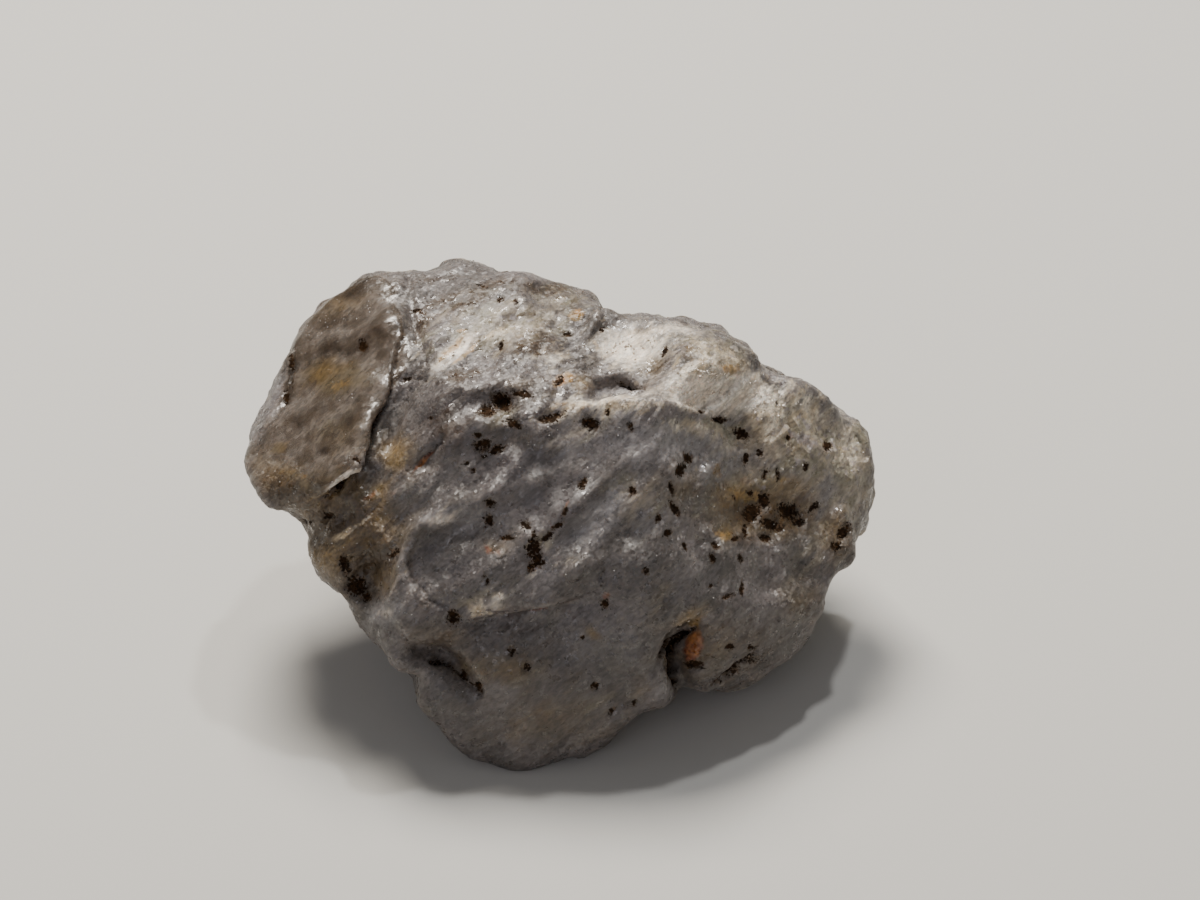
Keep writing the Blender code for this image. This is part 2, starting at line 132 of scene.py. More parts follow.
# Open cracks: a path of (x, y, depth in mm), the half width in mm, and how dark the painted shade inside
# is.
CRACKS = {
    "beside the glassy end": (
        ((386, 404, 0.3), (380, 420, 0.7), (372, 445, 1.0), (366, 468, 1.1), (352, 480, 0.9),
         (336, 490, 0.5), (322, 498, 0.1)), 0.12, 1.0,
    ),
    "hairline beside the end": (
        ((406, 330, 0.1), (400, 346, 0.25), (396, 366, 0.3), (391, 388, 0.25), (386, 404, 0.3)), 0.09, 0.6,
    ),
    "between the lobes, over": (
        ((696, 624, 0.1), (688, 631, 0.4), (676, 637, 0.65), (666, 644, 0.65), (660, 656, 0.3)), 0.12, 1.0,
    ),
    "between the lobes, down": (
        ((680, 634, 0.5), (672, 648, 0.7), (668, 662, 0.7), (672, 676, 0.7), (680, 690, 0.7)), 0.12, 1.0,
    ),
    "left notch": (
        ((430, 662, 0.4), (442, 658, 0.4), (454, 670, 0.25), (466, 680, 0.25), (478, 694, 0.3)), 0.12, 1.0,
    ),
    "left notch hole": (((434, 658, 0.25), (446, 662, 0.25)), 0.22, 0.5),
    "rusty crack": (
        ((410, 472, 0.1), (422, 463, 0.25), (434, 452, 0.3), (441, 442, 0.25), (446, 436, 0.1)), 0.1, 0.7,
    ),
    "under the brow": (((500, 616, 0.1), (514, 611, 0.35), (532, 608, 0.35), (552, 605, 0.1)), 0.1, 0.6),
    "slot": (((590, 396, 0.1), (602, 389, 0.3), (620, 384, 0.4), (640, 385, 0.2)), 0.3, 0.0),
    "slot's end": (((618, 379, 0.1), (628, 381, 0.5), (641, 386, 0.2)), 0.1, 1.0),
    "thin pit line": (((607, 562, 0.1), (604, 574, 0.25), (602, 588, 0.2)), 0.06, 1.0),
    "line right of the hump": (((546, 330, 0.05), (540, 350, 0.14), (536, 372, 0.05)), 0.07, 0.5),
    "left of the ridge": (((412, 556, 0.1), (418, 580, 0.3), (428, 600, 0.2), (446, 606, 0.1)), 0.16, 0.45),
    "right lobe streak": (
        ((712, 688, 0.3), (722, 677, 0.6), (732, 669, 0.5), (746, 661, 0.5), (754, 655, 0.2)), 0.13, 1.0,
    ),
    "end's left line": (((292, 352, 0.04), (298, 368, 0.1), (291, 390, 0.1), (284, 402, 0.04)), 0.1, 1.0),
    "cream hook": (((412, 314, 0.1), (414, 330, 0.2), (420, 348, 0.2), (428, 362, 0.1)), 0.08, 0.5),
    "thin line below the leaf": (((448, 372, 0.05), (460, 367, 0.16), (470, 361, 0.05)), 0.06, 1.0),
    "thin line left": (((404, 379, 0.1), (414, 378, 0.2), (428, 377, 0.05)), 0.07, 1.0),
}

# Pits with dark fillings: (x, y, half length, half width, turn in degrees), all in best-side places.
PITS = (
    (363, 346, 5, 6, 20), (357, 461, 3, 2.5, 0), (292, 364, 2.5, 12, -14), (286, 396, 2.5, 9, 20),
    (503, 402, 13, 8, 50), (489, 411, 9, 7, 0), (522, 394, 12, 4, 8), (513, 425, 13, 4, 14),
    (552, 418, 15, 5, -12), (589, 424, 10, 8, 20), (479, 433, 5, 3, -10), (484, 444, 8, 7, 0),
    (497, 448, 9, 4, -15), (558, 381, 5, 4, -40), (468, 462, 3, 2, 0), (475, 470, 3, 3, 0),
    (484, 458, 4, 2, 0), (492, 502, 8, 5, 25), (490, 521, 5, 8, 15), (506, 540, 8, 3, 5),
    (524, 526, 6, 4, 20), (535, 548, 8, 12, -10), (539, 560, 7, 8, 0), (533, 535, 3, 3, 0),
    (549, 536, 8, 3, -35), (558, 526, 7, 3, -25), (566, 512, 3, 7, 20), (582, 484, 4, 8, 30),
    (532, 568, 5, 4, 0), (606, 602, 4, 6, -15), (454, 617, 8, 9, 0), (511, 651, 4, 5, 0),
    (527, 666, 6, 6, 0), (594, 686, 5, 5, 0), (636, 703, 3, 4, 0), (394, 554, 8, 4, -12),
    (346, 564, 5, 10, 0), (356, 584, 12, 10, 20), (366, 596, 5, 6, 0), (671, 489, 3, 8, -8),
    (674, 508, 4, 8, -30), (658, 516, 3, 5, 0), (680, 470, 5, 8, 40), (688, 457, 4, 6, -30),
    (632, 492, 4, 4, 0), (701, 412, 4, 3, 0), (718, 421, 9, 3.5, 5), (739, 434, 9, 6, 20),
    (745, 460, 3, 6, 15), (758, 452, 4, 4, 0), (764, 472, 3, 7, 30), (776, 474, 2.5, 9, 8),
    (806, 467, 3, 3, 30), (754, 513, 8, 12, 20), (763, 500, 6, 11, -20), (770, 525, 11, 6, 10),
    (788, 512, 13, 8, 15), (798, 522, 6, 5, 0), (813, 508, 3.5, 8, 40), (734, 538, 6, 3, -10),
    (745, 532, 2.5, 8, 10), (764, 539, 7, 4, 10), (780, 528, 5, 3, 0), (713, 547, 4, 4, 30),
    (750, 492, 4, 4, 0), (736, 497, 3, 3, 0), (728, 597, 9, 2.5, 0), (744, 590, 2.5, 9, 0),
    (708, 586, 2, 4, 10), (750, 648, 6, 3, 30), (730, 646, 3, 4, 0), (694, 664, 10, 4, 5),
    (716, 682, 7, 5, -40), (732, 670, 11, 4, -35), (747, 661, 8, 3.5, -20), (844, 532, 5, 9, 25),
    (836, 546, 5, 5, 0), (418, 311, 6, 3, 8), (408, 379, 4, 3, 0), (502, 346, 2.5, 6, 10),
    (566, 334, 6, 3, 0), (603, 327, 3, 4, 0), (480, 285, 6, 2, 25), (503, 299, 4, 2.5, 0),
    (518, 301, 4, 2.5, 20), (430, 420, 3, 2, 0), (632, 428, 3, 6, -20), (686, 546, 2, 5, 0),
    (668, 534, 4, 4, 0), (646, 572, 3, 5, -30), (486, 580, 2, 8, -15), (328, 514, 7, 4, 30),
    (308, 522, 6, 4, 0), (612, 710, 5, 3, -35), (476, 686, 5, 6, 30), (464, 674, 6, 3, 30),
    (776, 404, 2, 4, -15), (792, 438, 4, 3, 0), (826, 446, 4, 7, 10), (712, 560, 3, 5, 0),
    (740, 558, 3, 6, -20), (664, 352, 3, 6, 0), (608, 412, 3, 4, 0), (586, 640, 2, 3, 0),
)

# Where the glassy end has lost its polish, as for the tints below.
DULLED_END = (
    (282, 486, 50, 20, 38, 1.0), (268, 402, 12, 50, 24, 1.0), (330, 505, 40, 10, 0, 0.8),
)

# Where the surface is smoother than elsewhere, as for the tints below.
CALM_PLACES = (
    (540, 690, 140, 70, 6, 0.95), (545, 500, 120, 60, -32, 0.88), (500, 305, 76, 40, -5, 0.6),
    (455, 425, 45, 35, 0, 0.7), (455, 350, 28, 12, -36, 0.8), (650, 440, 70, 26, 0, 0.5),
    (768, 513, 44, 26, 0, 0.8), (630, 345, 40, 26, 5, 0.7), (516, 454, 18, 15, 0, 0.85),
    (535, 474, 16, 11, 0, 0.85), (636, 548, 28, 18, 0, 0.85), (440, 440, 50, 40, 0, 0.6),
    (740, 640, 60, 40, 0, 0.4), (600, 610, 60, 40, 0, 0.5), (730, 570, 50, 30, 0, 0.5),
)

# Tints: (x, y, half length, half width, turn in degrees, strength up to 1).
PALE_TINTS = (  # granular cream crust and bleached, crazed stone
    (450, 511, 22, 5, -12, 0.5), (345, 400, 10, 2, -18, 0.4), (330, 361, 26, 2.5, -3, 0.3),
    (268, 402, 8, 40, 24, 0.3), (620, 404, 60, 12, 0, 0.7), (706, 394, 48, 20, 8, 0.95),
    (690, 428, 50, 12, 12, 0.5), (640, 350, 52, 26, 5, 0.95), (600, 402, 70, 16, -6, 0.75),
    (700, 372, 62, 36, 20, 0.9), (760, 404, 48, 32, 35, 0.9), (560, 300, 50, 20, 10, 0.3),
    (456, 349, 22, 9, -36, 0.9), (500, 333, 22, 6, -20, 0.8), (552, 358, 34, 20, -30, 0.5),
    (488, 274, 40, 8, 0, 0.2), (800, 404, 44, 24, 45, 0.7), (846, 450, 30, 36, 0, 0.6),
    (480, 609, 14, 7, -15, 0.9), (498, 598, 10, 8, 0, 0.8), (568, 558, 14, 8, -20, 0.45),
    (694, 464, 10, 8, 0, 0.5), (530, 576, 14, 7, -20, 0.4), (398, 266, 18, 3, -5, 0.7),
    (418, 338, 4, 20, 15, 0.5), (560, 400, 26, 14, 0, 0.5), (852, 514, 10, 8, 0, 0.45),
    (349, 532, 20, 5, -33, 0.9), (407, 571, 3, 14, 5, 0.6), (850, 390, 14, 30, 40, 0.25),
    (340, 482, 18, 3, -28, 0.4), (730, 396, 22, 7, -38, 0.6),
)
# White crust, with painted light: highlights on crests and the glassy end's edge, a glow on the pale lump,
# and cream lightened where it faces away from the light.
WHITE_AND_PAINTED_LIGHT_TINTS = (
    (630, 346, 36, 22, 5, 1.0), (668, 330, 40, 8, 4, 0.6), (612, 398, 40, 6, -12, 0.6),
    (455, 350, 24, 8, -36, 1.3), (346, 477, 20, 2.4, -30, 1.2), (552, 356, 14, 10, 0, 0.5),
    (650, 390, 26, 6, 0, 0.5), (704, 395, 40, 18, 12, 1.2), (744, 392, 32, 18, 25, 1.1),
    (496, 601, 12, 6, -30, 0.6), (388, 611, 14, 8, -15, 0.42), (442, 519, 16, 6, -12, 0.6),
    (730, 396, 26, 4, -38, 0.6),
)
BARE_PLACES = (  # no crust here
    (612, 388, 28, 8, -14, 1.0), (655, 366, 22, 15, -30, 1.0), (690, 356, 14, 10, 0, 0.7),
    (800, 440, 12, 16, 0, 0.6), (722, 424, 20, 10, 0, 0.6), (520, 394, 10, 5, 0, 0.6),
    (456, 412, 26, 18, -20, 1.0), (560, 318, 30, 10, 20, 0.4),
)
TAN_TINTS = (  # beige and olive, half clear
    (800, 440, 74, 46, 20, 1.0), (852, 470, 30, 60, 0, 0.9), (770, 480, 60, 30, 0, 0.7),
    (716, 432, 52, 14, 10, 0.8), (560, 300, 60, 24, 10, 0.5), (716, 350, 44, 20, 10, 0.8),
    (560, 440, 70, 14, -20, 0.5), (640, 500, 40, 40, 0, 0.5), (740, 440, 40, 30, 0, 0.7),
    (545, 540, 26, 12, -30, 0.6), (480, 600, 34, 10, -15, 0.6), (590, 418, 60, 10, -5, 0.5),
    (610, 700, 60, 14, -20, 0.3), (340, 420, 30, 60, 15, 0.35), (820, 540, 40, 50, 0, 0.5),
    (700, 500, 30, 40, 10, 0.4), (500, 420, 30, 16, 0, 0.5), (430, 340, 20, 40, 10, 0.5),
    (505, 325, 70, 36, 0, 0.8),
)
GREY_AND_HIGHLIGHT_TINTS = (  # fresh blue-grey, and painted highlights on crests and the pale lump
    (600, 520, 50, 20, -40, 1.0), (704, 470, 50, 22, 0, 0.9), (468, 521, 24, 12, -15, 1.1),
    (650, 442, 60, 28, 0, 1.0), (722, 452, 44, 26, 0, 0.9), (786, 462, 50, 36, 10, 0.9),
    (600, 462, 44, 18, -30, 0.5), (478, 486, 26, 5, -22, 0.4), (650, 516, 50, 30, 0, 0.6),
    (836, 500, 30, 60, 0, 0.9), (680, 576, 70, 36, 0, 0.5), (610, 640, 60, 30, 0, 0.45),
    (450, 514, 30, 9, -12, 1.0), (545, 570, 20, 20, 0, 0.6), (820, 424, 44, 36, 0, 0.7),
    (436, 521, 15, 9, -20, 0.8), (388, 612, 20, 12, -15, 1.3), (468, 518, 24, 9, -24, 0.95),
    (480, 500, 30, 6, -18, 0.3), (405, 566, 6, 26, 5, 0.6), (440, 535, 26, 7, -40, 0.45),
    (620, 530, 10, 14, 0, 0.55), (600, 430, 60, 22, -10, 0.35), (600, 440, 60, 14, -25, 0.3),
    (640, 480, 40, 10, -45, 0.45), (600, 412, 70, 20, -6, 0.8), (560, 448, 60, 22, -20, 0.6),
    (700, 440, 60, 34, 0, 0.9), (480, 585, 40, 7, -28, 0.4), (600, 535, 34, 8, -42, 0.35),
    (720, 560, 50, 30, 0, 0.3), (660, 694, 20, 10, -20, 0.6), (442, 706, 14, 24, -30, 0.4),
    (620, 645, 6, 16, 0, 0.5), (668, 430, 40, 16, 0, 0.3), (276, 392, 12, 40, 28, 0.5),
    (258, 440, 10, 20, 10, 0.5), (440, 290, 40, 16, -8, 0.35), (798, 418, 9, 9, 0, 0.5),
    (612, 388, 24, 6, -12, 0.9),
)
HONEY_TINTS = (  # iron-stained, honey to brown
    (335, 377, 34, 18, 0, 0.95), (350, 436, 44, 34, 10, 0.35), (345, 300, 34, 14, -28, 0.5),
    (396, 455, 24, 22, 0, 0.7), (370, 495, 34, 12, -30, 0.8), (345, 530, 50, 54, 0, 1.2),
    (310, 505, 40, 20, 30, 1.0), (380, 575, 20, 22, 0, 0.7), (296, 492, 50, 22, 38, 0.9),
    (745, 492, 34, 16, 0, 0.8), (724, 528, 14, 10, 0, 0.9), (780, 488, 44, 18, 0, 0.7),
    (762, 512, 52, 28, 0, 1.0), (730, 366, 20, 8, 0, 0.7), (652, 364, 20, 16, -30, 0.6),
    (760, 430, 26, 16, 20, 0.5), (838, 530, 26, 30, 0, 0.6), (800, 600, 26, 30, 0, 0.4),
    (596, 636, 12, 7, 35, 0.7), (500, 668, 60, 18, 6, 0.65), (560, 720, 80, 30, -10, 0.42),
    (712, 650, 60, 40, 0, 0.42), (660, 600, 14, 40, 8, 0.35), (580, 384, 14, 12, 0, 0.6),
    (500, 550, 18, 9, 0, 0.4), (680, 490, 24, 30, 0, 0.45), (690, 615, 26, 10, -20, 0.6),
    (440, 640, 50, 16, 0, 0.35), (280, 448, 12, 5, -20, 0.8), (640, 690, 14, 20, 0, 0.3),
    (528, 438, 30, 10, -10, 0.35), (700, 350, 30, 14, 20, 0.3), (520, 386, 30, 12, 0, 0.3),
)
SMOKY_TINTS = (  # soft darker clouds inside the stone
    (330, 345, 15, 11, 0, 0.9), (363, 347, 8, 10, 20, 1.0), (322, 296, 28, 11, -28, 1.0),
    (352, 288, 30, 10, -20, 0.9), (452, 424, 42, 32, -15, 0.6), (392, 372, 7, 34, 8, 0.8),
    (346, 421, 13, 9, 0, 0.8), (324, 450, 10, 7, 0, 0.8), (296, 424, 9, 8, 0, 0.7),
    (350, 442, 8, 6, 0, 0.7), (292, 376, 5, 26, 8, 1.0), (290, 494, 44, 18, 38, 0.9),
    (335, 520, 56, 30, -20, 1.0), (366, 560, 34, 56, 20, 0.8), (420, 470, 20, 14, 0, 0.4),
    (520, 640, 70, 22, 0, 0.5), (768, 515, 42, 20, 5, 1.15), (744, 540, 18, 10, 0, 0.7),
    (690, 500, 22, 36, 10, 0.45), (450, 640, 50, 18, 20, 0.6), (700, 640, 20, 20, 0, 0.6),
    (760, 640, 50, 30, 0, 0.5), (548, 700, 110, 50, 0, 0.4), (418, 600, 10, 30, -20, 0.5),
    (462, 400, 20, 26, 0, 0.4), (500, 415, 30, 22, 10, 0.3), (838, 548, 26, 30, 0, 0.5),
    (456, 301, 46, 9, -8, 1.1), (500, 283, 26, 7, -5, 1.0), (548, 289, 30, 8, 8, 0.9),
    (532, 346, 28, 13, -10, 1.0), (424, 322, 8, 18, 15, 1.0), (462, 376, 26, 8, -8, 1.0),
    (520, 318, 24, 4, -12, 0.7), (575, 305, 10, 18, 10, 0.6), (440, 280, 30, 4, -5, 0.6),
    (655, 366, 18, 14, -30, 0.5), (686, 356, 12, 10, 0, 0.5), (450, 300, 40, 10, -12, 0.4),
)
MAUVE_SHADE_TINTS = (  # deep grey, and painted shade over parts of the best side
    (555, 500, 54, 26, -25, 1.0), (466, 568, 44, 20, -25, 0.8), (610, 590, 50, 30, -20, 0.7),
    (452, 424, 42, 32, -15, 1.0), (515, 462, 56, 26, -25, 0.9), (640, 470, 30, 30, -30, 0.3),
    (500, 640, 80, 20, 0, 0.5), (640, 560, 40, 30, 0, 0.5), (430, 552, 22, 30, 30, 0.6),
    (700, 590, 40, 24, 0, 0.4),
)
SPARKLES = (  # lines of small fresh edges
    ((313, 323, 0.6), (332, 319, 1.0), (350, 316, 1.0), (370, 307, 0.8)),
    ((324, 489, 0.8), (338, 482, 1.0), (352, 474, 1.0), (365, 464, 0.8)),
    ((334, 403, 0.9), (350, 398, 0.6)),
    ((388, 268, 0.9), (410, 265, 0.9)),
)
SPARKLE_WIDTH, SPARKLE_STRENGTH = 0.16, 4.0  # half the width in mm, and how thickly chips lie there
GOLD_TINTS = (  # golden, on the crust
    (577, 317, 9, 7, 0, 1.1), (563, 379, 11, 6, -20, 1.1), (463, 331, 8, 3, 0, 1.0),
    (729, 370, 14, 6, 20, 0.9), (748, 494, 14, 8, 0, 0.9), (722, 535, 12, 6, 0, 0.9),
    (716, 470, 8, 12, 0, 0.6), (597, 345, 8, 12, 0, 0.5), (690, 350, 12, 8, 0, 0.5),
    (780, 478, 16, 5, 0, 0.6), (696, 622, 10, 5, -20, 0.8), (340, 384, 20, 9, 0, 0.5),
    (452, 345, 18, 2.4, -38, 1.4), (463, 355, 18, 2.4, -38, 1.4), (442, 356, 10, 2, -38, 1.2),
    (300, 476, 18, 6, 30, 0.5), (566, 402, 14, 5, -10, 0.6), (838, 528, 10, 12, 0, 0.5),
)
RUST_TINTS = (  # rust red and orange
    (424, 463, 14, 2.6, -44, 1.1), (694, 645, 8, 18, 12, 1.2), (560, 380, 7, 6, 0, 0.7),
    (578, 315, 7, 6, 0, 0.5), (464, 331, 7, 3, 0, 0.5), (524, 610, 28, 3, -6, 0.7),
    (567, 508, 3, 12, 20, 0.6), (490, 553, 5, 6, 0, 0.6), (644, 584, 6, 14, 15, 0.35),
    (498, 554, 6, 5, 0, 0.5), (534, 568, 6, 4, 0, 0.6), (608, 596, 6, 8, 0, 0.5),
    (746, 478, 12, 9, 0, 0.35), (480, 672, 24, 6, 20, 0.35), (792, 436, 6, 5, 0, 0.5),
    (370, 494, 16, 4, -35, 0.6), (728, 597, 10, 4, 0, 0.5), (398, 492, 10, 5, -20, 0.4),
)

TINTS = {
    "pale": PALE_TINTS, "white": WHITE_AND_PAINTED_LIGHT_TINTS, "grey": GREY_AND_HIGHLIGHT_TINTS, "tan": TAN_TINTS, "honey": HONEY_TINTS,
    "gold": GOLD_TINTS, "rust": RUST_TINTS, "smoky": SMOKY_TINTS, "mauve": MAUVE_SHADE_TINTS,
}
# fmt: on

# Grain of the fine relief, as wavelengths and heights in mm, and the fabric that runs across the stone.
WAVES = ((2.4, 0.08), (1.1, 0.04), (0.5, 0.025), (0.3, 0.015))
CHIPS = ((1.5, 0.13), (0.7, 0.15))  # width and slope of the small broken faces
CHIP_EDGE = 0.06  # how softly neighbouring chips meet, as a share of their width
RIPPLES = ((2.0, 0.12), (0.8, 0.05), (0.4, 0.02))  # the same for the glassy end
CELL_MIX = 37.0  # spreads the chips' middles over the noise, so that each takes a tilt of its own
LEVEL = Vector((0.5, 0.5, 0.5))  # the tilt of a chip that lies level
FABRIC_TURN = math.radians(40)  # the fibres rise to the right
FABRIC_STRETCH = (2.6, 1.5, 1.0)  # how much longer its grain is along, into and across the fabric
FIBRES = ((0.70, 0.045), (0.34, 0.03))  # width and height of the fibres
FIBRE_STRETCH = 2.0  # how much longer the fibres are than the rest of the fabric
WANDER = ((1.9, 4.0), (0.7, 2.0), (0.33, 1.8))  # marks wander by this many places over each distance in mm
FACES_FRONT, FACES_BACK = (-0.05, 0.25), (0.1, 0.6)  # the turns over which front, and back, come in
TERRACES, TERRACE_RISE = (-0.3, -0.1, 0.1, 0.3), 0.22  # broken steps round the back, and their rise in mm
TERRACE_EDGE = 0.04  # how softly a step begins and ends
BACK_ROUGHER = 0.5  # how much more broken the back is, as a share
EDGE_WIDTH = 0.12  # half the width over which a ledge drops
PIT_DEPTH = 0.07
SUGAR_HEIGHT = 0.06  # of the sugary crust's own grain
FOLD_LEFT, FOLD_MORE = 0.08, 0.34  # how much of a fold is left everywhere, and how much more in places
GLASSY_END = (Vector((-0.50, -0.73, 0.50)).normalized(), 9.5)  # the way it looks, and how far off it is
GLASSY_DEPTHS = (-0.45, -0.2)  # the end comes in between these depths in mm behind its flat face
GLASSY_FACING = (0.35, 0.75)  # and as the surface turns this far to look its way
# Hollows take a painted shade and crests a painted highlight, by how far a place lies below or above what
# is round it.
NEAR_ROUNDS, WIDE_ROUNDS = 4, 30  # rounds of evening that show what is hollow, close by and more widely
HOLLOWS, CRESTS = (0.005, 0.16), (0.008, 0.10)  # the depths and heights in mm over which they come in

# Each noise: a shift in mm that keeps it from looking like the others, and the length it changes over.
NOISES = {
    "kept folds": (17.0, 1.1), "sugary": (3.0, 0.38), "veiled": (53.0, 3.0), "terraced": (61.0, 2.6),
    "patchy": (11.0, 5.0), "blotchy": (23.0, 2.2), "scattered": (37.0, 0.55), "banded": (41.0, 2.6),
}  # fmt: skip
WAVES_SHIFT = 5.0  # the shift between one wave of the fine relief and the next
RIPPLES_SHIFT = 29.0
WANDER_SHIFTS = (71.0, 83.0)  # one for the wander across and one for the wander down

# The back's tints: how strong they are, how far they follow the patchy and the blotchy noise, and the
# range of both together over which they come in.
BACK_TINTS = {
    "pale": (0.85, 1.0, 0.4, 0.15, 0.65),
    "grey": (1.0, -1.0, 0.5, 0.1, 0.6),
    "tan": (1.0, 1.0, -0.3, -0.2, 0.4),
    "honey": (0.6, -0.4, 1.0, 0.15, 0.6),
    "smoky": (1.0, -0.3, -1.0, 0.0, 0.5),
}

# ------------------------------------------------------------------------- the stone's and grains' looks
BODY_DARK, BODY_LIGHT = "#544f4b", "#726b6a"
BODY_CLOUD = 2.6  # size of the body's own clouds in mm
BODY_THROUGH, CLEAR_THROUGH = 0.28, 0.68  # the share of light that goes in
LEFT_UNDER = {"pale": 0.25, "honey": 0.75, "hollow_shade": 0.6, "rust": 0.3, "dark": 0.03}  # and under each mark
STONE_SHINE, DARK_SHINE = 0.42, 0.03
SMOKE, SMOKE_DENSITY = "#c7a681", 170.0
SAND_GRAIN, SAND_HEIGHT = 0.14, 0.03  # the finest grain of all, and how far it stands up, in mm
SAND_SHADES = (0.66, 1.34)  # how far that grain darkens and lightens the colour
POLISH_GRAIN = 0.20  # size in mm of the small faces that each have a gloss of their own
POLISHED, UNPOLISHED = 0.15, 0.5  # the range of their roughness
CRUST_ROUGHNESS, DARK_ROUGHNESS, CLEAR_ROUGHNESS = 0.5, 0.7, 0.27
BROKEN_BUMP, CALM_BUMP = 0.9, 0.2  # strength of the finest relief, where the stone is broken and calm
FACET_GRAIN = ((0.34, 0.80), (0.15, 0.60))  # width of the small facets in mm, and how far they lean
GLOW, GLOW_DEPTH = 0.4, 0.7  # the share of light that scatters below the surface, and how far in mm
GLOW_REACH = (1.0, 0.8, 0.65)  # of its red, green and blue
HERDERITE_IOR = 1.60
GRAIN_DRIFT = 0.6  # over how many mm the loose grains change their shade
GRAIN_KNOCK = 0.35  # how far a grain's corners are knocked about, where its radius is 1

# The loose grains: their piece, the mark that says where, how many there are in a square mm, their
# smallest and largest radius in mm, their seed, and their finish: its name, its dark and light colours,
# its roughness, the share of light that goes in, and its shine.
GRAINS = (
    ("crust_grains", "crusted", 22.0, 0.02, 0.09, 3,
     ("Sugary cream crust", "#b7a792", "#ebe3d8", 0.4, 0.25, 0.5)),
    ("bright_chips", "glittering", 3.6, 0.01, 0.035, 5,
     ("Fresh clear chips", "#bdb9b8", "#f1eeea", 0.15, 0.1, 0.5)),
    ("dark_infill", "filled", 18.0, 0.02, 0.07, 8,
     ("Dark mineral infill", "#1c1209", "#3c2815", 0.75, 0.0, 0.04)),
)  # fmt: skip

# ---------------------------------------------------------------- floor and lights, in metres and watts
FLOOR_REACH = 1.5
FLOOR_COLOUR = "#b9b8b4"
ROOM_COLOUR, ROOM_STRENGTH = "#cfcdca", 0.31
LIGHTS = (  # name, place, width, watts and colour
    ("high soft light", (-0.04, 0.12, 0.24), 0.10, 1.45, "#fff8ee"),
    ("glint light", (0.05, 0.08, 0.26), 0.015, 0.25, "#ffffff"),
    ("front fill", (-0.08, -0.25, 0.14), 0.20, 0.16, "#f6f4ff"),
)


def linear(sheet_colour):
    """A hexadecimal sRGB colour as the linear one that a shader takes."""
    parts = [int(sheet_colour[i : i + 2], 16) / 255 for i in (1, 3, 5)]
    return (*(p / 12.92 if p <= 0.04045 else ((p + 0.055) / 1.055) ** 2.4 for p in parts), 1.0)


def feed(tree, node, inputs):
    """Gives each of these inputs its value, or links it to the socket that feeds it."""
    for key, value in inputs.items():
        if isinstance(value, bpy.types.NodeSocket):
            tree.links.new(value, node.inputs[key])
        else:
            node.inputs[key].default_value = value


def add(tree, kind, inputs=None, **settings):
    """Adds a node with its settings and inputs, and gives back its sockets that others can take."""
    node = tree.nodes.new(kind)
    for name, value in settings.items():
        setattr(node, name, value)
    feed(tree, node, inputs or {})
    return node.outputs


def smooth_step(low, high, value):
    t = np.clip((value - low) / (high - low), 0, 1)
    return t * t * (3 - 2 * t)


def to_upright(path):
    """A path in best-side places as one in upright millimetres, with its third number kept."""
    left, top = MIDDLE_PLACE
    return [((u - left) / PLACES_PER_MM, (top - v) / PLACES_PER_MM, value) for u, v, value in path]


def beside_path(path, x, z):
    """Each point's distance from a path, its side (1 is the left), and the third number of the path's
    corners, read at the nearest place on the path."""
    nearest = np.full(len(x), np.inf)
    side, value = np.zeros(len(x)), np.zeros(len(x))
    corners = to_upright(path)
    for (x0, z0, value0), (x1, z1, value1) in zip(corners[:-1], corners[1:]):
        length = math.hypot(x1 - x0, z1 - z0)
        way_x, way_z = (x1 - x0) / length, (z1 - z0) / length
        run = np.clip((x - x0) * way_x + (z - z0) * way_z, 0, length)
        off = np.hypot(x - x0 - run * way_x, z - z0 - run * way_z)
        closer = off < nearest
        nearest = np.where(closer, off, nearest)
        side = np.where(closer, np.sign(way_x * (z - z0) - way_z * (x - x0)), side)
        value = np.where(closer, value0 + (value1 - value0) * run / length, value)
    return nearest, side, value


def spot_at(u, v, middle_u, middle_v, half_along, half_across, turn):
    """1 in the middle of a spot, fading to 0 round it. Its turn is clockwise as it looks."""
    c, s = math.cos(math.radians(turn)), math.sin(math.radians(turn))
    along = ((u - middle_u) * c + (v - middle_v) * s) / half_along
    over = ((v - middle_v) * c - (u - middle_u) * s) / half_across
    return np.exp(-(along**2 + over**2))


def tint_at(u, v, spots):
    """The strongest of several tints at each place."""
    found = np.zeros(len(u))
    for *spot, strength in spots:
        found = np.maximum(found, strength * spot_at(u, v, *spot))
    return found


def noise_at(points, length):
    """Smooth noise from -1 to 1 that changes over this length."""
    return np.array([noise.noise(Vector(p)) for p in points / length])


def named_noise(points, name):
    shift, length = NOISES[name]
    return noise_at(points + shift, length)


def chips_at(points):
    """The height of the broken surface: a small flat face at its own tilt round each scattered spot."""
    out = np.zeros(len(points))
    for width, slope in CHIPS:
        for i, point in enumerate(points / width):
            here = Vector(point)
            distances, spots = noise.voronoi(here)
            near, next_to = (
                (here - spot).dot(noise.cell_vector(spot * CELL_MIX) - LEVEL) for spot in spots[:2]
            )
            blend = min(1.0, 0.5 + 0.5 * (distances[1] - distances[0]) / CHIP_EDGE)
            out[i] += slope * width * (next_to + (near - next_to) * blend)
    return out


def along_fabric(points):
    """Points in upright millimetres, squeezed along the fabric, so that what is even here runs with it."""
    c, s = math.cos(FABRIC_TURN), math.sin(FABRIC_TURN)
    x, y, z = points.T
    return np.column_stack([x * c + z * s, y, z * c - x * s]) / FABRIC_STRETCH


def fibres_at(fabric):
    """Long low ridges that run with the fabric: their height, and how high they are as a share from 0
    to 1."""
    out, share = np.zeros(len(fabric)), np.zeros(len(fabric))
    for width, height in FIBRES:
        ridged = 1 - 2 * np.abs(noise_at(fabric / (FIBRE_STRETCH, 1, 1), width))
        out += height * ridged
        share += ridged / len(FIBRES)
    return out, smooth_step(0.3, 0.95, share)


def new_object(name, data):
    thing = bpy.data.objects.new(name, data)
    bpy.context.scene.collection.objects.link(thing)
    return thing


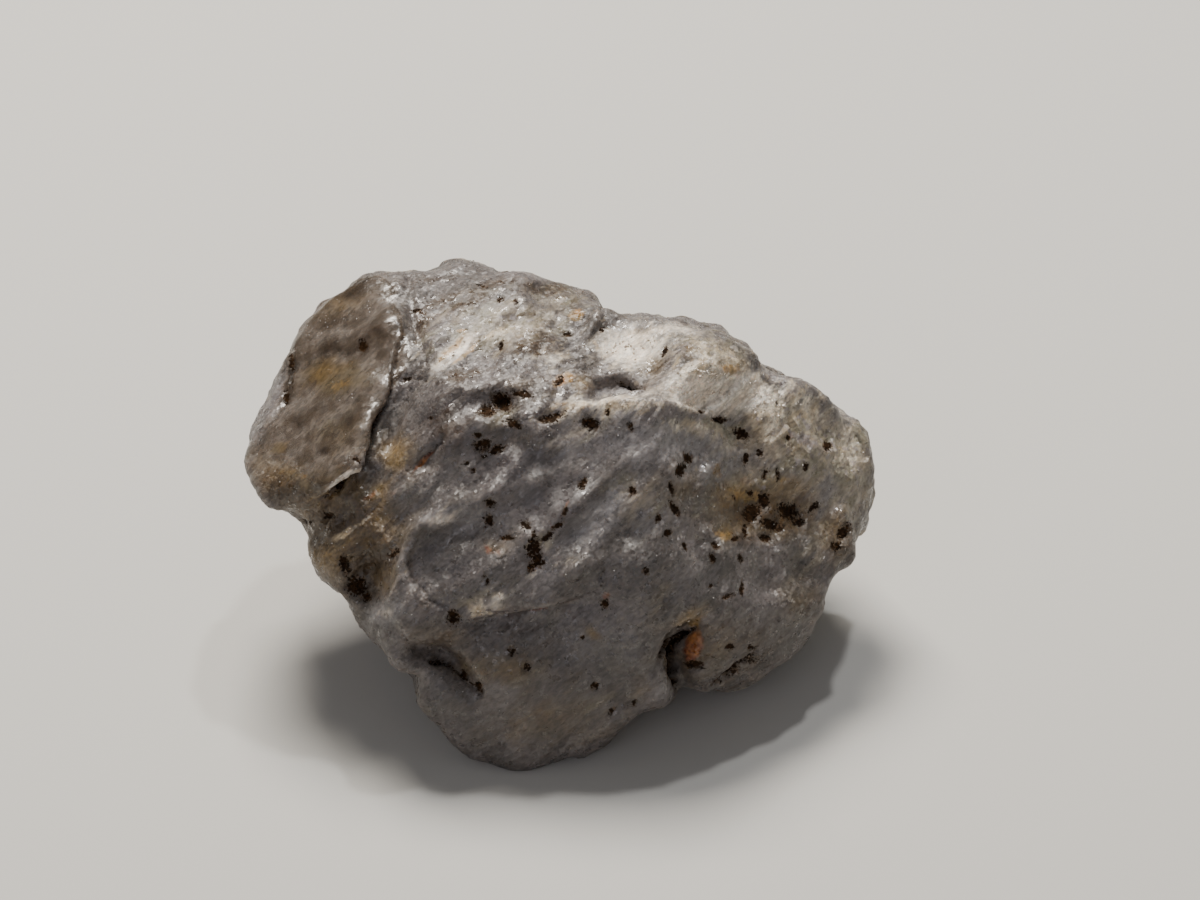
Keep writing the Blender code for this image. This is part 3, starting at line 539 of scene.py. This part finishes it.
def finished_mesh(draft):
    """The mesh that a draft's modifiers make of it. The draft itself is deleted."""
    seen = draft.evaluated_get(bpy.context.evaluated_depsgraph_get())
    mesh = bpy.data.meshes.new_from_object(seen)
    bpy.data.objects.remove(draft)
    return mesh


def new_material(name):
    material = bpy.data.materials.new(name)
    material.use_nodes = True
    return material, material.node_tree, material.node_tree.nodes["Principled BSDF"]


def read_rows(items, what, width, kind):
    """One thing that each of a mesh's items says, as a row of numbers for each."""
    found = np.empty(len(items) * width, kind)
    items.foreach_get(what, found)
    return found.reshape(-1, width)


def read_points(mesh):
    return read_rows(mesh.vertices, "co", 3, np.float32).astype(float)


def read_normals(mesh):
    return read_rows(mesh.vertex_normals, "vector", 3, np.float32).astype(float)


def write_points(mesh, points):
    mesh.vertices.foreach_set("co", points.astype(np.float32).ravel())
    mesh.update()


def evened(values, edges, rounds):
    """Each vertex's row of values, averaged with its neighbours' over and over."""
    here, there = edges.T
    count = len(values)
    neighbours = np.bincount(here, minlength=count) + np.bincount(there, minlength=count)
    for _ in range(rounds):
        totals = [
            np.bincount(here, column[there], count) + np.bincount(there, column[here], count)
            for column in values.T
        ]
        values = (values + np.stack(totals, axis=1) / neighbours[:, None]) / 2
    return values


def to_solid_frame():
    """What takes upright millimetres to the frame that the stone lies in, still in millimetres."""
    return Matrix.Translation(MIDDLE) @ Matrix.Rotation(-LEAN_BACK, 4, "X")


def turned(points, matrix):
    return points @ np.array(matrix.to_3x3()).T + np.array(matrix.translation)


def surface_cells(solid):
    """The solid's surface, upright and in millimetres, drawn afresh on small even cells."""
    bm = bmesh.new()
    bm.from_mesh(solid.data)
    bmesh.ops.transform(bm, matrix=Matrix.Scale(1 / MM, 4), verts=bm.verts)
    bmesh.ops.remove_doubles(bm, verts=bm.verts, dist=SAME_PLACE)
    bmesh.ops.transform(bm, matrix=to_solid_frame().inverted(), verts=bm.verts)
    mesh = bpy.data.meshes.new("surface")
    bm.to_mesh(mesh)
    bm.free()
    draft = new_object("surface draft", mesh)
    cells = draft.modifiers.new("Cells", "REMESH")
    cells.mode = "VOXEL"
    cells.voxel_size = CELL
    return finished_mesh(draft)


def best_side_places(points):
    """Where each point looks to be on the best side, with the marks' wander added."""
    nearness = 1 + points[:, 1] / EYE_DISTANCE
    u = MIDDLE_PLACE[0] + PLACES_PER_MM * points[:, 0] / nearness
    v = MIDDLE_PLACE[1] - PLACES_PER_MM * points[:, 2] / nearness
    across, down = WANDER_SHIFTS
    for length, reach in WANDER:
        u += reach * noise_at(points + across, length)
        v += reach * noise_at(points + down, length)
    return u, v


def glassy_share(points, normals, u, v):
    """How far each place belongs to the glassy end, from 0 to 1."""
    looks, distance = GLASSY_END
    near = smooth_step(*GLASSY_DEPTHS, points @ np.array(looks) - distance)
    facing = smooth_step(*GLASSY_FACING, normals @ np.array(looks))
    return near * facing * (1 - tint_at(u, v, DULLED_END))


def marked_relief(points, x, z, front):
    """The height of the ledges, folds and cracks on the best side, and the painted shade in each crack."""
    relief, crack_shade = np.zeros(len(points)), np.zeros(len(points))
    for path, rise, drop in LEDGES.values():
        off, side, step = beside_path(path, x, z)
        upper = smooth_step(-EDGE_WIDTH, EDGE_WIDTH, off * side)
        up, down = np.exp(-off / rise), -np.exp(-off / drop)
        relief += front * step / 2 * (down + (up - down) * upper)
    kept = FOLD_LEFT + FOLD_MORE * smooth_step(-0.35, 0.35, named_noise(points, "kept folds"))
    for path, half_width in FOLDS.values():
        off, _, height = beside_path(path, x, z)
        relief += front * height * kept * np.exp(-off / half_width)
    for path, half_width, darkness in CRACKS.values():
        off, _, depth = beside_path(path, x, z)
        cut = front * np.exp(-((off / half_width) ** 2))
        relief -= depth * cut
        crack_shade = np.maximum(crack_shade, darkness * np.minimum(1, 0.3 + depth) * cut)
    return relief, crack_shade


def sparkles_at(x, z, front):
    """How thickly small fresh edges lie along their lines."""
    found = np.zeros(len(x))
    for path in SPARKLES:
        off, _, strength = beside_path(path, x, z)
        found = np.maximum(found, front * strength * np.exp(-((off / SPARKLE_WIDTH) ** 2)))
    return found


def tints_over(points, u, v, front):
    """How strong each tint is: as placed on the best side, and in patches and blotches behind."""
    tints = {mark: front * tint_at(u, v, places) for mark, places in TINTS.items()}
    tints["pale"] *= 1 - tint_at(u, v, BARE_PLACES)
    patchy, blotchy = named_noise(points, "patchy"), named_noise(points, "blotchy")
    for mark, (strength, by_patches, by_blotches, low, high) in BACK_TINTS.items():
        behind = smooth_step(low, high, by_patches * patchy + by_blotches * blotchy)
        tints[mark] = np.maximum(tints[mark], strength * (1 - front) * behind)
    return tints


def pits_over(points, u, v, front):
    """The pits: as placed on the best side, and in loose bands behind."""
    placed = front * tint_at(u, v, [(*pit, 1.0) for pit in PITS])
    scattered = smooth_step(0.42, 0.62, named_noise(points, "scattered"))
    banded = smooth_step(-0.1, 0.2, named_noise(points, "banded"))
    return np.maximum(placed, (1 - front) * scattered * banded)


def broken_relief(points, fabric, pale):
    """The height of the broken stone between its marks, and how fibrous it is."""
    relief = sum(
        height * noise_at(points + WAVES_SHIFT * i, length) for i, (length, height) in enumerate(WAVES)
    )
    fibres, fibrous = fibres_at(fabric)
    relief += chips_at(fabric) + fibres * (1 - 0.5 * pale)
    relief += SUGAR_HEIGHT * pale * named_noise(points, "sugary")
    return relief, fibrous


def hollows_and_crests(mesh, edges, points):
    """How far each place lies below what is round it, and how far above, both from 0 to 1."""
    # The first is a painted shade for the hollows, the second a painted highlight for the crests.
    outward = read_normals(mesh)
    near, wide = (
        np.einsum("ij,ij->i", evened(points, edges, rounds) - points, outward)
        for rounds in (NEAR_ROUNDS, WIDE_ROUNDS)
    )
    hollow_shade = smooth_step(*HOLLOWS, near * 1.5 + wide * 0.5)
    crest_highlight = smooth_step(*CRESTS, -near * 1.5 - wide * 0.3)
    return hollow_shade, crest_highlight


def stone_surface(solid):
    """The stone's skin: the solid's surface with its small relief, and what each place is made of."""
    mesh = surface_cells(solid)
    edges = read_rows(mesh.edges, "vertices", 2, np.int32)
    points = evened(read_points(mesh), edges, FACET_SMOOTHING)
    write_points(mesh, points)
    normals = evened(read_normals(mesh), edges, TURN_SMOOTHING)
    normals /= np.linalg.norm(normals, axis=1)[:, None]
    u, v = best_side_places(points)
    x, z = (u - MIDDLE_PLACE[0]) / PLACES_PER_MM, (MIDDLE_PLACE[1] - v) / PLACES_PER_MM
    front = smooth_step(*FACES_FRONT, -normals[:, 1])
    behind = smooth_step(*FACES_BACK, normals[:, 1])
    clear = glassy_share(points, normals, u, v)
    calm = np.maximum(0.9 * clear, tint_at(u, v, CALM_PLACES) * front)
    tints = tints_over(points, u, v, front)
    pale = tints["pale"]
    pits = pits_over(points, u, v, front)

    relief, crack_shade = marked_relief(points, x, z, front)
    fabric = along_fabric(points)
    terraced = named_noise(fabric, "terraced")
    for level in TERRACES:
        step = smooth_step(level - TERRACE_EDGE, level + TERRACE_EDGE, terraced)
        relief += behind * TERRACE_RISE * (step - 0.5)
    rough, fibrous = broken_relief(points, fabric, pale)
    ripples = sum(height * noise_at(points + RIPPLES_SHIFT, length) for length, height in RIPPLES)
    relief += rough * (1 + BACK_ROUGHER * behind) * (1 - calm) + ripples * clear
    relief -= PIT_DEPTH * smooth_step(0.2, 0.6, pits)

    placed = turned(points, to_solid_frame())
    faded = smooth_step(*FLAT_BASE, placed[:, 2])
    moved = points + normals * (relief * faded)[:, None]
    write_points(mesh, moved)
    hollow_shade, crest_highlight = hollows_and_crests(mesh, edges, moved)
    placed = turned(moved, to_solid_frame()) * MM
    placed[:, 2] = np.maximum(placed[:, 2], 0)
    write_points(mesh, placed)
    mesh.shade_smooth()

    # Dark infill in the pits, and painted shade in the cracks.
    dark = np.maximum(pits, crack_shade)
    off_base = smooth_step(*CLEAN_BASE, placed[:, 2] / MM)
    upward = smooth_step(0.0, 0.7, read_normals(mesh)[:, 2])
    # Fresh chips lie on what faces up: a few everywhere, more on grey crests and most on the crust.
    chipped = 0.08 + 0.92 * np.maximum(pale, 0.35 * tints["grey"])
    fresh = chipped * upward * off_base * (1 - 0.8 * clear)
    marks = {
        **tints,
        "clear": clear,
        "calm": calm,
        "dark": dark,
        "stain_and_crack_shade": dark,
        "hollow_shade": hollow_shade,
        "crest_highlight": crest_highlight,
        "veiled": 0.5 + 0.3 * named_noise(points, "veiled"),
        "fibrous": fibrous * (1 - clear) * (1 - 0.6 * calm),
        "crusted": pale * off_base * (1 - clear) * smooth_step(0.5, 0.95, pale),
        "glittering": fresh + SPARKLE_STRENGTH * sparkles_at(x, z, front),
        "filled": smooth_step(0.5, 0.8, pits) * off_base,
    }
    mesh.attributes.new("fabric", "FLOAT_VECTOR", "POINT").data.foreach_set(
        "vector", (fabric * MM).astype(np.float32).ravel()
    )
    for name, values in marks.items():
        mesh.attributes.new(name, "FLOAT", "POINT").data.foreach_set("value", values.astype(np.float32))
    return mesh


# What tints the stone, from the body outwards: the mark that says where, whether it runs with the fabric,
# the grain in mm that breaks it up and by how much, the strengths between which it comes in, its two
# shades, and how far it covers. A mark's first layer says how far the mark reaches, and later ones are
# flecks within it.
LAYERS = (
    ("veiled", True, 0.5, 1.6, 0.45, 0.85, "#8f8580", "#7f786e", 0.3),
    ("fibrous", True, 0.3, 0.8, 0.45, 1.2, "#958b85", "#857b76", 0.25),
    ("clear", False, 0.5, 0.8, 0.20, 0.9, "#6c5c4b", "#9a8d81", 0.85),
    # Blue-grey stone, and painted highlights on the best side's crests and the pale lump.
    ("grey", True, 0.4, 0.8, 0.20, 0.90, "#a19d9e", "#8b8788", 0.54),
    ("tan", True, 0.5, 1.4, 0.25, 0.85, "#b3a590", "#8b846f", 0.8),
    ("honey", True, 0.6, 0.9, 0.05, 0.80, "#7f673b", "#635539", 0.78),
    # Deep grey, a painted shade over parts of the best side.
    ("mauve", True, 0.5, 1.0, 0.15, 0.85, "#413c3e", "#524c4d", 0.7),
    ("smoky", True, 0.45, 1.0, 0.15, 0.85, "#352410", "#47351f", 0.78),
    ("pale", True, 0.3, 1.8, 0.30, 0.95, "#f2e7d3", "#b09f84", 0.92),
    ("pale", False, 0.5, 2.0, 0.85, 1.10, "#8e868b", "#7d766f", 0.6),
    ("pale", False, 0.3, 2.2, 0.92, 1.15, "#9a7d50", "#6f5f44", 0.6),
    ("tan", False, 0.35, 2.0, 0.80, 1.05, "#7a6c4e", "#8e868b", 0.6),
    # White crust, and painted light on crests, edges and the pale lump.
    ("white", True, 0.4, 0.6, 0.15, 0.75, "#efe6d9", "#e2d3c0", 0.85),
    # Painted shade in the hollows.
    ("hollow_shade", False, 0.4, 0.5, 0.40, 1.1, "#463a31", "#5b4c3c", 0.45),
    # Painted highlight on the crests.
    ("crest_highlight", True, 0.3, 0.9, 0.5, 1.3, "#b8afa6", "#9d9690", 0.12),
    ("gold", False, 0.3, 1.4, 0.30, 0.85, "#b48a4c", "#8f7440", 0.75),
    ("rust", False, 0.3, 0.7, 0.25, 0.7, "#96602f", "#6a331a", 0.85),
    # The stain round the dark pits, and a painted shade round the cracks.
    ("stain_and_crack_shade", False, 0.25, 1.6, 0.25, 0.60, "#5c4326", "#40331f", 0.8),
    # Dark infill in the pits, and painted shade inside the cracks.
    ("dark", False, 0.13, 2.3, 0.49, 0.57, "#2e1f12", "#1e140a", 1.0),
)  # fmt: skip


def broken_up(tree, mark, grain, amount, low, high, place):
    """How strongly a mark covers each place, its soft edge broken up by noise of that grain in mm."""
    where = add(tree, "ShaderNodeAttribute", attribute_name=mark)["Fac"]
    scale = 1 / (grain * MM)
    rough = add(
        tree, "ShaderNodeTexNoise", {"Vector": place, "Scale": scale, "Detail": 5.0, "Roughness": 0.6}
    )[0]
    shifted = add(
        tree, "ShaderNodeMath", {0: rough, 1: amount, 2: -amount / 2}, operation="MULTIPLY_ADD"
    )[0]
    summed = add(tree, "ShaderNodeMath", {0: where, 1: shifted}, operation="ADD")[0]
    return add(
        tree,
        "ShaderNodeMapRange",
        {"Value": summed, "From Min": low, "From Max": high},
        interpolation_type="SMOOTHSTEP",
    )[0]


def herderite_colour(tree, place, fabric):
    """The stone's colour, layer on layer, and how far each mark reaches."""
    clouds = add(
        tree, "ShaderNodeTexNoise", {"Vector": place, "Scale": 1 / (BODY_CLOUD * MM), "Detail": 5.0}
    )[0]
    body = add(tree, "ShaderNodeMapRange", {"Value": clouds, "From Min": 0.3, "From Max": 0.7})[0]
    colour = add(
        tree,
        "ShaderNodeMix",
        {"Factor": body, 6: linear(BODY_DARK), 7: linear(BODY_LIGHT)},
        data_type="RGBA",
    )[2]
    covers = {}
    for mark, runs, grain, amount, low, high, tint, other_tint, cover in LAYERS:
        where = fabric if runs else place
        strength = broken_up(tree, mark, grain, amount, low, high, where)
        covers.setdefault(mark, strength)
        drift = add(
            tree, "ShaderNodeTexNoise", {"Vector": where, "Scale": 1 / (2 * grain * MM), "Detail": 3.0}
        )[0]
        mottled = add(tree, "ShaderNodeMapRange", {"Value": drift, "From Min": 0.42, "From Max": 0.6})[0]
        shade = add(
            tree,
            "ShaderNodeMix",
            {"Factor": mottled, 6: linear(tint), 7: linear(other_tint)},
            data_type="RGBA",
        )[2]
        part = add(tree, "ShaderNodeMath", {0: strength, 1: cover}, operation="MULTIPLY")[0]
        colour = add(tree, "ShaderNodeMix", {"Factor": part, 6: colour, 7: shade}, data_type="RGBA")[2]
    sand = add(
        tree,
        "ShaderNodeTexNoise",
        {"Vector": fabric, "Scale": 1 / (SAND_GRAIN * MM), "Detail": 5.0, "Roughness": 0.6},
    )[0]
    darkest, lightest = SAND_SHADES
    shade = add(
        tree,
        "ShaderNodeMapRange",
        {"Value": sand, "From Min": 0.35, "From Max": 0.65, "To Min": darkest, "To Max": lightest},
    )[0]
    colour = add(tree, "ShaderNodeVectorMath", {0: colour, "Scale": shade}, operation="SCALE")[0]
    return colour, covers


def herderite_relief(tree, place, fabric):
    """The height of the small facets, each with a tilt of its own, and of the finest grain."""
    layers = []
    for where, (width, tilt) in zip((fabric, place), FACET_GRAIN):
        cells = add(tree, "ShaderNodeTexVoronoi", {"Vector": where, "Scale": 1 / (width * MM)})
        from_middle = add(
            tree, "ShaderNodeVectorMath", {0: where, 1: cells["Position"]}, operation="SUBTRACT"
        )[0]
        lean = add(tree, "ShaderNodeVectorMath", {0: cells["Color"], 1: LEVEL}, operation="SUBTRACT")[0]
        rise = add(
            tree, "ShaderNodeVectorMath", {0: from_middle, 1: lean}, operation="DOT_PRODUCT"
        )["Value"]
        layers.append(add(tree, "ShaderNodeMath", {0: rise, 1: tilt}, operation="MULTIPLY")[0])
    sand = add(
        tree, "ShaderNodeTexNoise", {"Vector": place, "Scale": 1 / (SAND_GRAIN * MM), "Detail": 3.0}
    )[0]
    raised = add(tree, "ShaderNodeMath", {0: sand, 1: SAND_HEIGHT * MM}, operation="MULTIPLY")[0]
    layers.append(raised)
    height = layers[0]
    for layer in layers[1:]:
        height = add(tree, "ShaderNodeMath", {0: height, 1: layer}, operation="ADD")[0]
    return height


def herderite_material():
    """Rough herderite, broken and weathered: a milky, smoky stone with the wet gloss of fresh chips.

    Light goes some way in and comes out softened, so edges glow; a painted shade keeps hollows dark.
    Every small facet has a tilt of its own, and a few of them catch the light at once as glints.
    """
    material, tree, shader = new_material("Weathered smoky herderite")
    place = add(tree, "ShaderNodeTexCoord")["Object"]
    fabric = add(tree, "ShaderNodeAttribute", attribute_name="fabric")["Vector"]
    colour, covers = herderite_colour(tree, place, fabric)

    clear = broken_up(tree, "clear", 1.5, 0.3, 0.35, 0.75, place)
    through = add(
        tree, "ShaderNodeMix", {"Factor": clear, 2: BODY_THROUGH, 3: CLEAR_THROUGH}, data_type="FLOAT"
    )[0]
    for mark, left in LEFT_UNDER.items():
        kept = add(tree, "ShaderNodeMapRange", {"Value": covers[mark], "To Min": 1.0, "To Max": left})[0]
        through = add(tree, "ShaderNodeMath", {0: through, 1: kept}, operation="MULTIPLY")[0]
    shine = add(
        tree, "ShaderNodeMapRange", {"Value": covers["dark"], "To Min": STONE_SHINE, "To Max": DARK_SHINE}
    )[0]

    faces = add(tree, "ShaderNodeTexVoronoi", {"Vector": place, "Scale": 1 / (POLISH_GRAIN * MM)})
    chance = add(tree, "ShaderNodeSeparateColor", {0: faces["Color"]})[0]
    gloss = add(
        tree,
        "ShaderNodeMapRange",
        {"Value": chance, "From Min": 0.04, "From Max": 0.3, "To Min": POLISHED, "To Max": UNPOLISHED},
    )[0]
    for cover, own in (
        (covers["pale"], CRUST_ROUGHNESS), (covers["dark"], DARK_ROUGHNESS), (clear, CLEAR_ROUGHNESS)
    ):
        gloss = add(tree, "ShaderNodeMix", {"Factor": cover, 2: gloss, 3: own}, data_type="FLOAT")[0]

    calm = add(tree, "ShaderNodeAttribute", attribute_name="calm")["Fac"]
    strength = add(
        tree, "ShaderNodeMapRange", {"Value": calm, "To Min": BROKEN_BUMP, "To Max": CALM_BUMP}
    )[0]
    height = herderite_relief(tree, place, fabric)
    bump = add(tree, "ShaderNodeBump", {"Height": height, "Strength": strength, "Distance": 1.0})

    feed(tree, shader, {
        "Base Color": colour,
        "Transmission Weight": through,
        "Specular IOR Level": shine,
        "Roughness": gloss,
        "Normal": bump["Normal"],
        "IOR": HERDERITE_IOR,
        "Subsurface Weight": GLOW,
        "Subsurface Scale": GLOW_DEPTH * MM,
        "Subsurface Radius": GLOW_REACH,
    })
    smoke = add(tree, "ShaderNodeVolumeAbsorption", {"Color": linear(SMOKE), "Density": SMOKE_DENSITY})
    feed(tree, tree.nodes["Material Output"], {"Volume": smoke["Volume"]})
    return material


def grain_material(name, dark, light, roughness, through, shine):
    """Loose mineral grains of sugary crust, fresh chips or dark infill. Each takes its shade and gloss from
    where it lies, so that they look like many small stones."""
    material, tree, shader = new_material(name)
    place = add(tree, "ShaderNodeTexCoord")["Object"]
    shades = add(
        tree, "ShaderNodeTexNoise", {"Vector": place, "Scale": 1 / (GRAIN_DRIFT * MM), "Detail": 3.0}
    )[0]
    spread = add(tree, "ShaderNodeMapRange", {"Value": shades, "From Min": 0.35, "From Max": 0.65})[0]
    colour = add(
        tree, "ShaderNodeMix", {"Factor": spread, 6: linear(dark), 7: linear(light)}, data_type="RGBA"
    )[2]
    gloss = add(
        tree, "ShaderNodeMapRange", {"Value": shades, "To Min": roughness * 0.7, "To Max": roughness * 1.3}
    )[0]
    feed(tree, shader, {
        "Base Color": colour,
        "Roughness": gloss,
        "IOR": HERDERITE_IOR,
        "Transmission Weight": through,
        "Specular IOR Level": shine,
    })
    return material


def grain_tree():
    """Irregular grains scattered where a mark on the surface says, each turned and sized by chance."""
    tree = bpy.data.node_groups.new("Grains where marked", "GeometryNodeTree")
    sockets = tree.interface
    sockets.new_socket("Geometry", in_out="OUTPUT", socket_type="NodeSocketGeometry")
    sockets.new_socket("Surface", in_out="INPUT", socket_type="NodeSocketGeometry")
    for label, kind in (
        ("Mark", "NodeSocketString"),
        ("Grains in a square metre", "NodeSocketFloat"),
        ("Smallest radius", "NodeSocketFloat"),
        ("Largest radius", "NodeSocketFloat"),
        ("Seed", "NodeSocketInt"),
        ("Finish", "NodeSocketMaterial"),
    ):
        sockets.new_socket(label, in_out="INPUT", socket_type=kind)
    given = add(tree, "NodeGroupInput")
    share = add(tree, "GeometryNodeInputNamedAttribute", {"Name": given["Mark"]}, data_type="FLOAT")[0]
    amount = add(
        tree, "ShaderNodeMath", {0: share, 1: given["Grains in a square metre"]}, operation="MULTIPLY"
    )[0]
    spots = add(
        tree,
        "GeometryNodeDistributePointsOnFaces",
        {"Mesh": given["Surface"], "Density": amount, "Seed": given["Seed"]},
        distribute_method="RANDOM",
    )["Points"]
    ball = add(tree, "GeometryNodeMeshIcoSphere", {"Radius": 1.0, "Subdivisions": 1})["Mesh"]
    knock = add(
        tree,
        "FunctionNodeRandomValue",
        {0: (-GRAIN_KNOCK,) * 3, 1: (GRAIN_KNOCK,) * 3, "Seed": 4},
        data_type="FLOAT_VECTOR",
    )[0]
    grain = add(tree, "GeometryNodeSetPosition", {"Geometry": ball, "Offset": knock})[0]
    turn = add(
        tree,
        "FunctionNodeRandomValue",
        {0: (0, 0, 0), 1: (math.tau,) * 3, "Seed": given["Seed"]},
        data_type="FLOAT_VECTOR",
    )[0]
    sizes = add(
        tree,
        "FunctionNodeRandomValue",
        {0: given["Smallest radius"], 1: given["Largest radius"], "Seed": given["Seed"]},
        data_type="FLOAT_VECTOR",
    )[0]
    grains = add(
        tree,
        "GeometryNodeInstanceOnPoints",
        {"Points": spots, "Instance": grain, "Rotation": turn, "Scale": sizes},
    )["Instances"]
    real = add(tree, "GeometryNodeRealizeInstances", {"Geometry": grains})[0]
    finished = add(tree, "GeometryNodeSetMaterial", {"Geometry": real, "Material": given["Finish"]})[0]
    add(tree, "NodeGroupOutput", {0: finished})
    return tree


def scatter(tree, name, surface, settings):
    """One piece of scattered grains, as a plain mesh."""
    draft = new_object(name + " draft", surface)
    grow = draft.modifiers.new("Grains", "NODES")
    grow.node_group = tree
    sockets = {item.name: item.identifier for item in tree.interface.items_tree if item.in_out == "INPUT"}
    for label, value in settings.items():
        grow[sockets[label]] = value
    mesh = finished_mesh(draft)
    mesh.name = name
    return new_object(name, mesh)


def aim(thing, target):
    thing.rotation_mode = "QUATERNION"
    thing.rotation_quaternion = (Vector(target) - thing.location).to_track_quat("-Z", "Y")


def make_floor():
    """A matt, pale, even ground, which takes a soft shadow and no shine."""
    bm = bmesh.new()
    bmesh.ops.create_grid(bm, x_segments=1, y_segments=1, size=FLOOR_REACH)
    mesh = bpy.data.meshes.new("floor")
    bm.to_mesh(mesh)
    bm.free()
    floor = new_object("floor", mesh)
    material, tree, shader = new_material("Matt pale card")
    feed(tree, shader, {"Base Color": linear(FLOOR_COLOUR), "Roughness": 0.9})
    mesh.materials.append(material)


def make_light():
    """An even room, with one broad light above and behind, a small one for glints and a weak fill."""
    world = bpy.data.worlds.new("Soft room")
    bpy.context.scene.world = world
    world.use_nodes = True
    room = world.node_tree
    feed(room, room.nodes["Background"], {"Color": linear(ROOM_COLOUR), "Strength": ROOM_STRENGTH})
    for name, place, size, watts, tint in LIGHTS:
        lamp = bpy.data.lights.new(name, "AREA")
        lamp.size = size
        lamp.energy = watts
        lamp.color = linear(tint)[:3]
        light = new_object(name, lamp)
        light.location = Vector(place)
        aim(light, MIDDLE * MM)


def make_camera():
    """Looks square at the best side, with the stone where it lies in the view."""
    lens = bpy.data.cameras.new("camera")
    lens.lens, lens.sensor_width = LENS, SENSOR
    lens.clip_start = 0.01
    lens.shift_x = (VIEW_WIDTH / 2 - MIDDLE_PLACE[0]) / VIEW_WIDTH
    lens.shift_y = (MIDDLE_PLACE[1] - VIEW_HEIGHT / 2) / VIEW_WIDTH
    camera = new_object("camera", lens)
    back = Vector((0, -math.cos(LEAN_BACK), math.sin(LEAN_BACK)))
    camera.location = (MIDDLE + back * EYE_DISTANCE) * MM
    aim(camera, MIDDLE * MM)
    bpy.context.scene.camera = camera


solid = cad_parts["herderite_crystal"]
surface = stone_surface(solid)
surface.name = "herderite"
surface.materials.append(herderite_material())
stone = new_object("herderite", surface)
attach(stone, "root")
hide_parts("herderite_crystal")

grains = grain_tree()
for name, mark, in_square_mm, smallest, largest, seed, finish in GRAINS:
    piece = scatter(grains, name, surface, {
        "Mark": mark,
        "Grains in a square metre": in_square_mm / MM**2,
        "Smallest radius": smallest * MM,
        "Largest radius": largest * MM,
        "Seed": seed,
        "Finish": grain_material(*finish),
    })
    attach(piece, "root")

make_floor()
make_light()
make_camera()
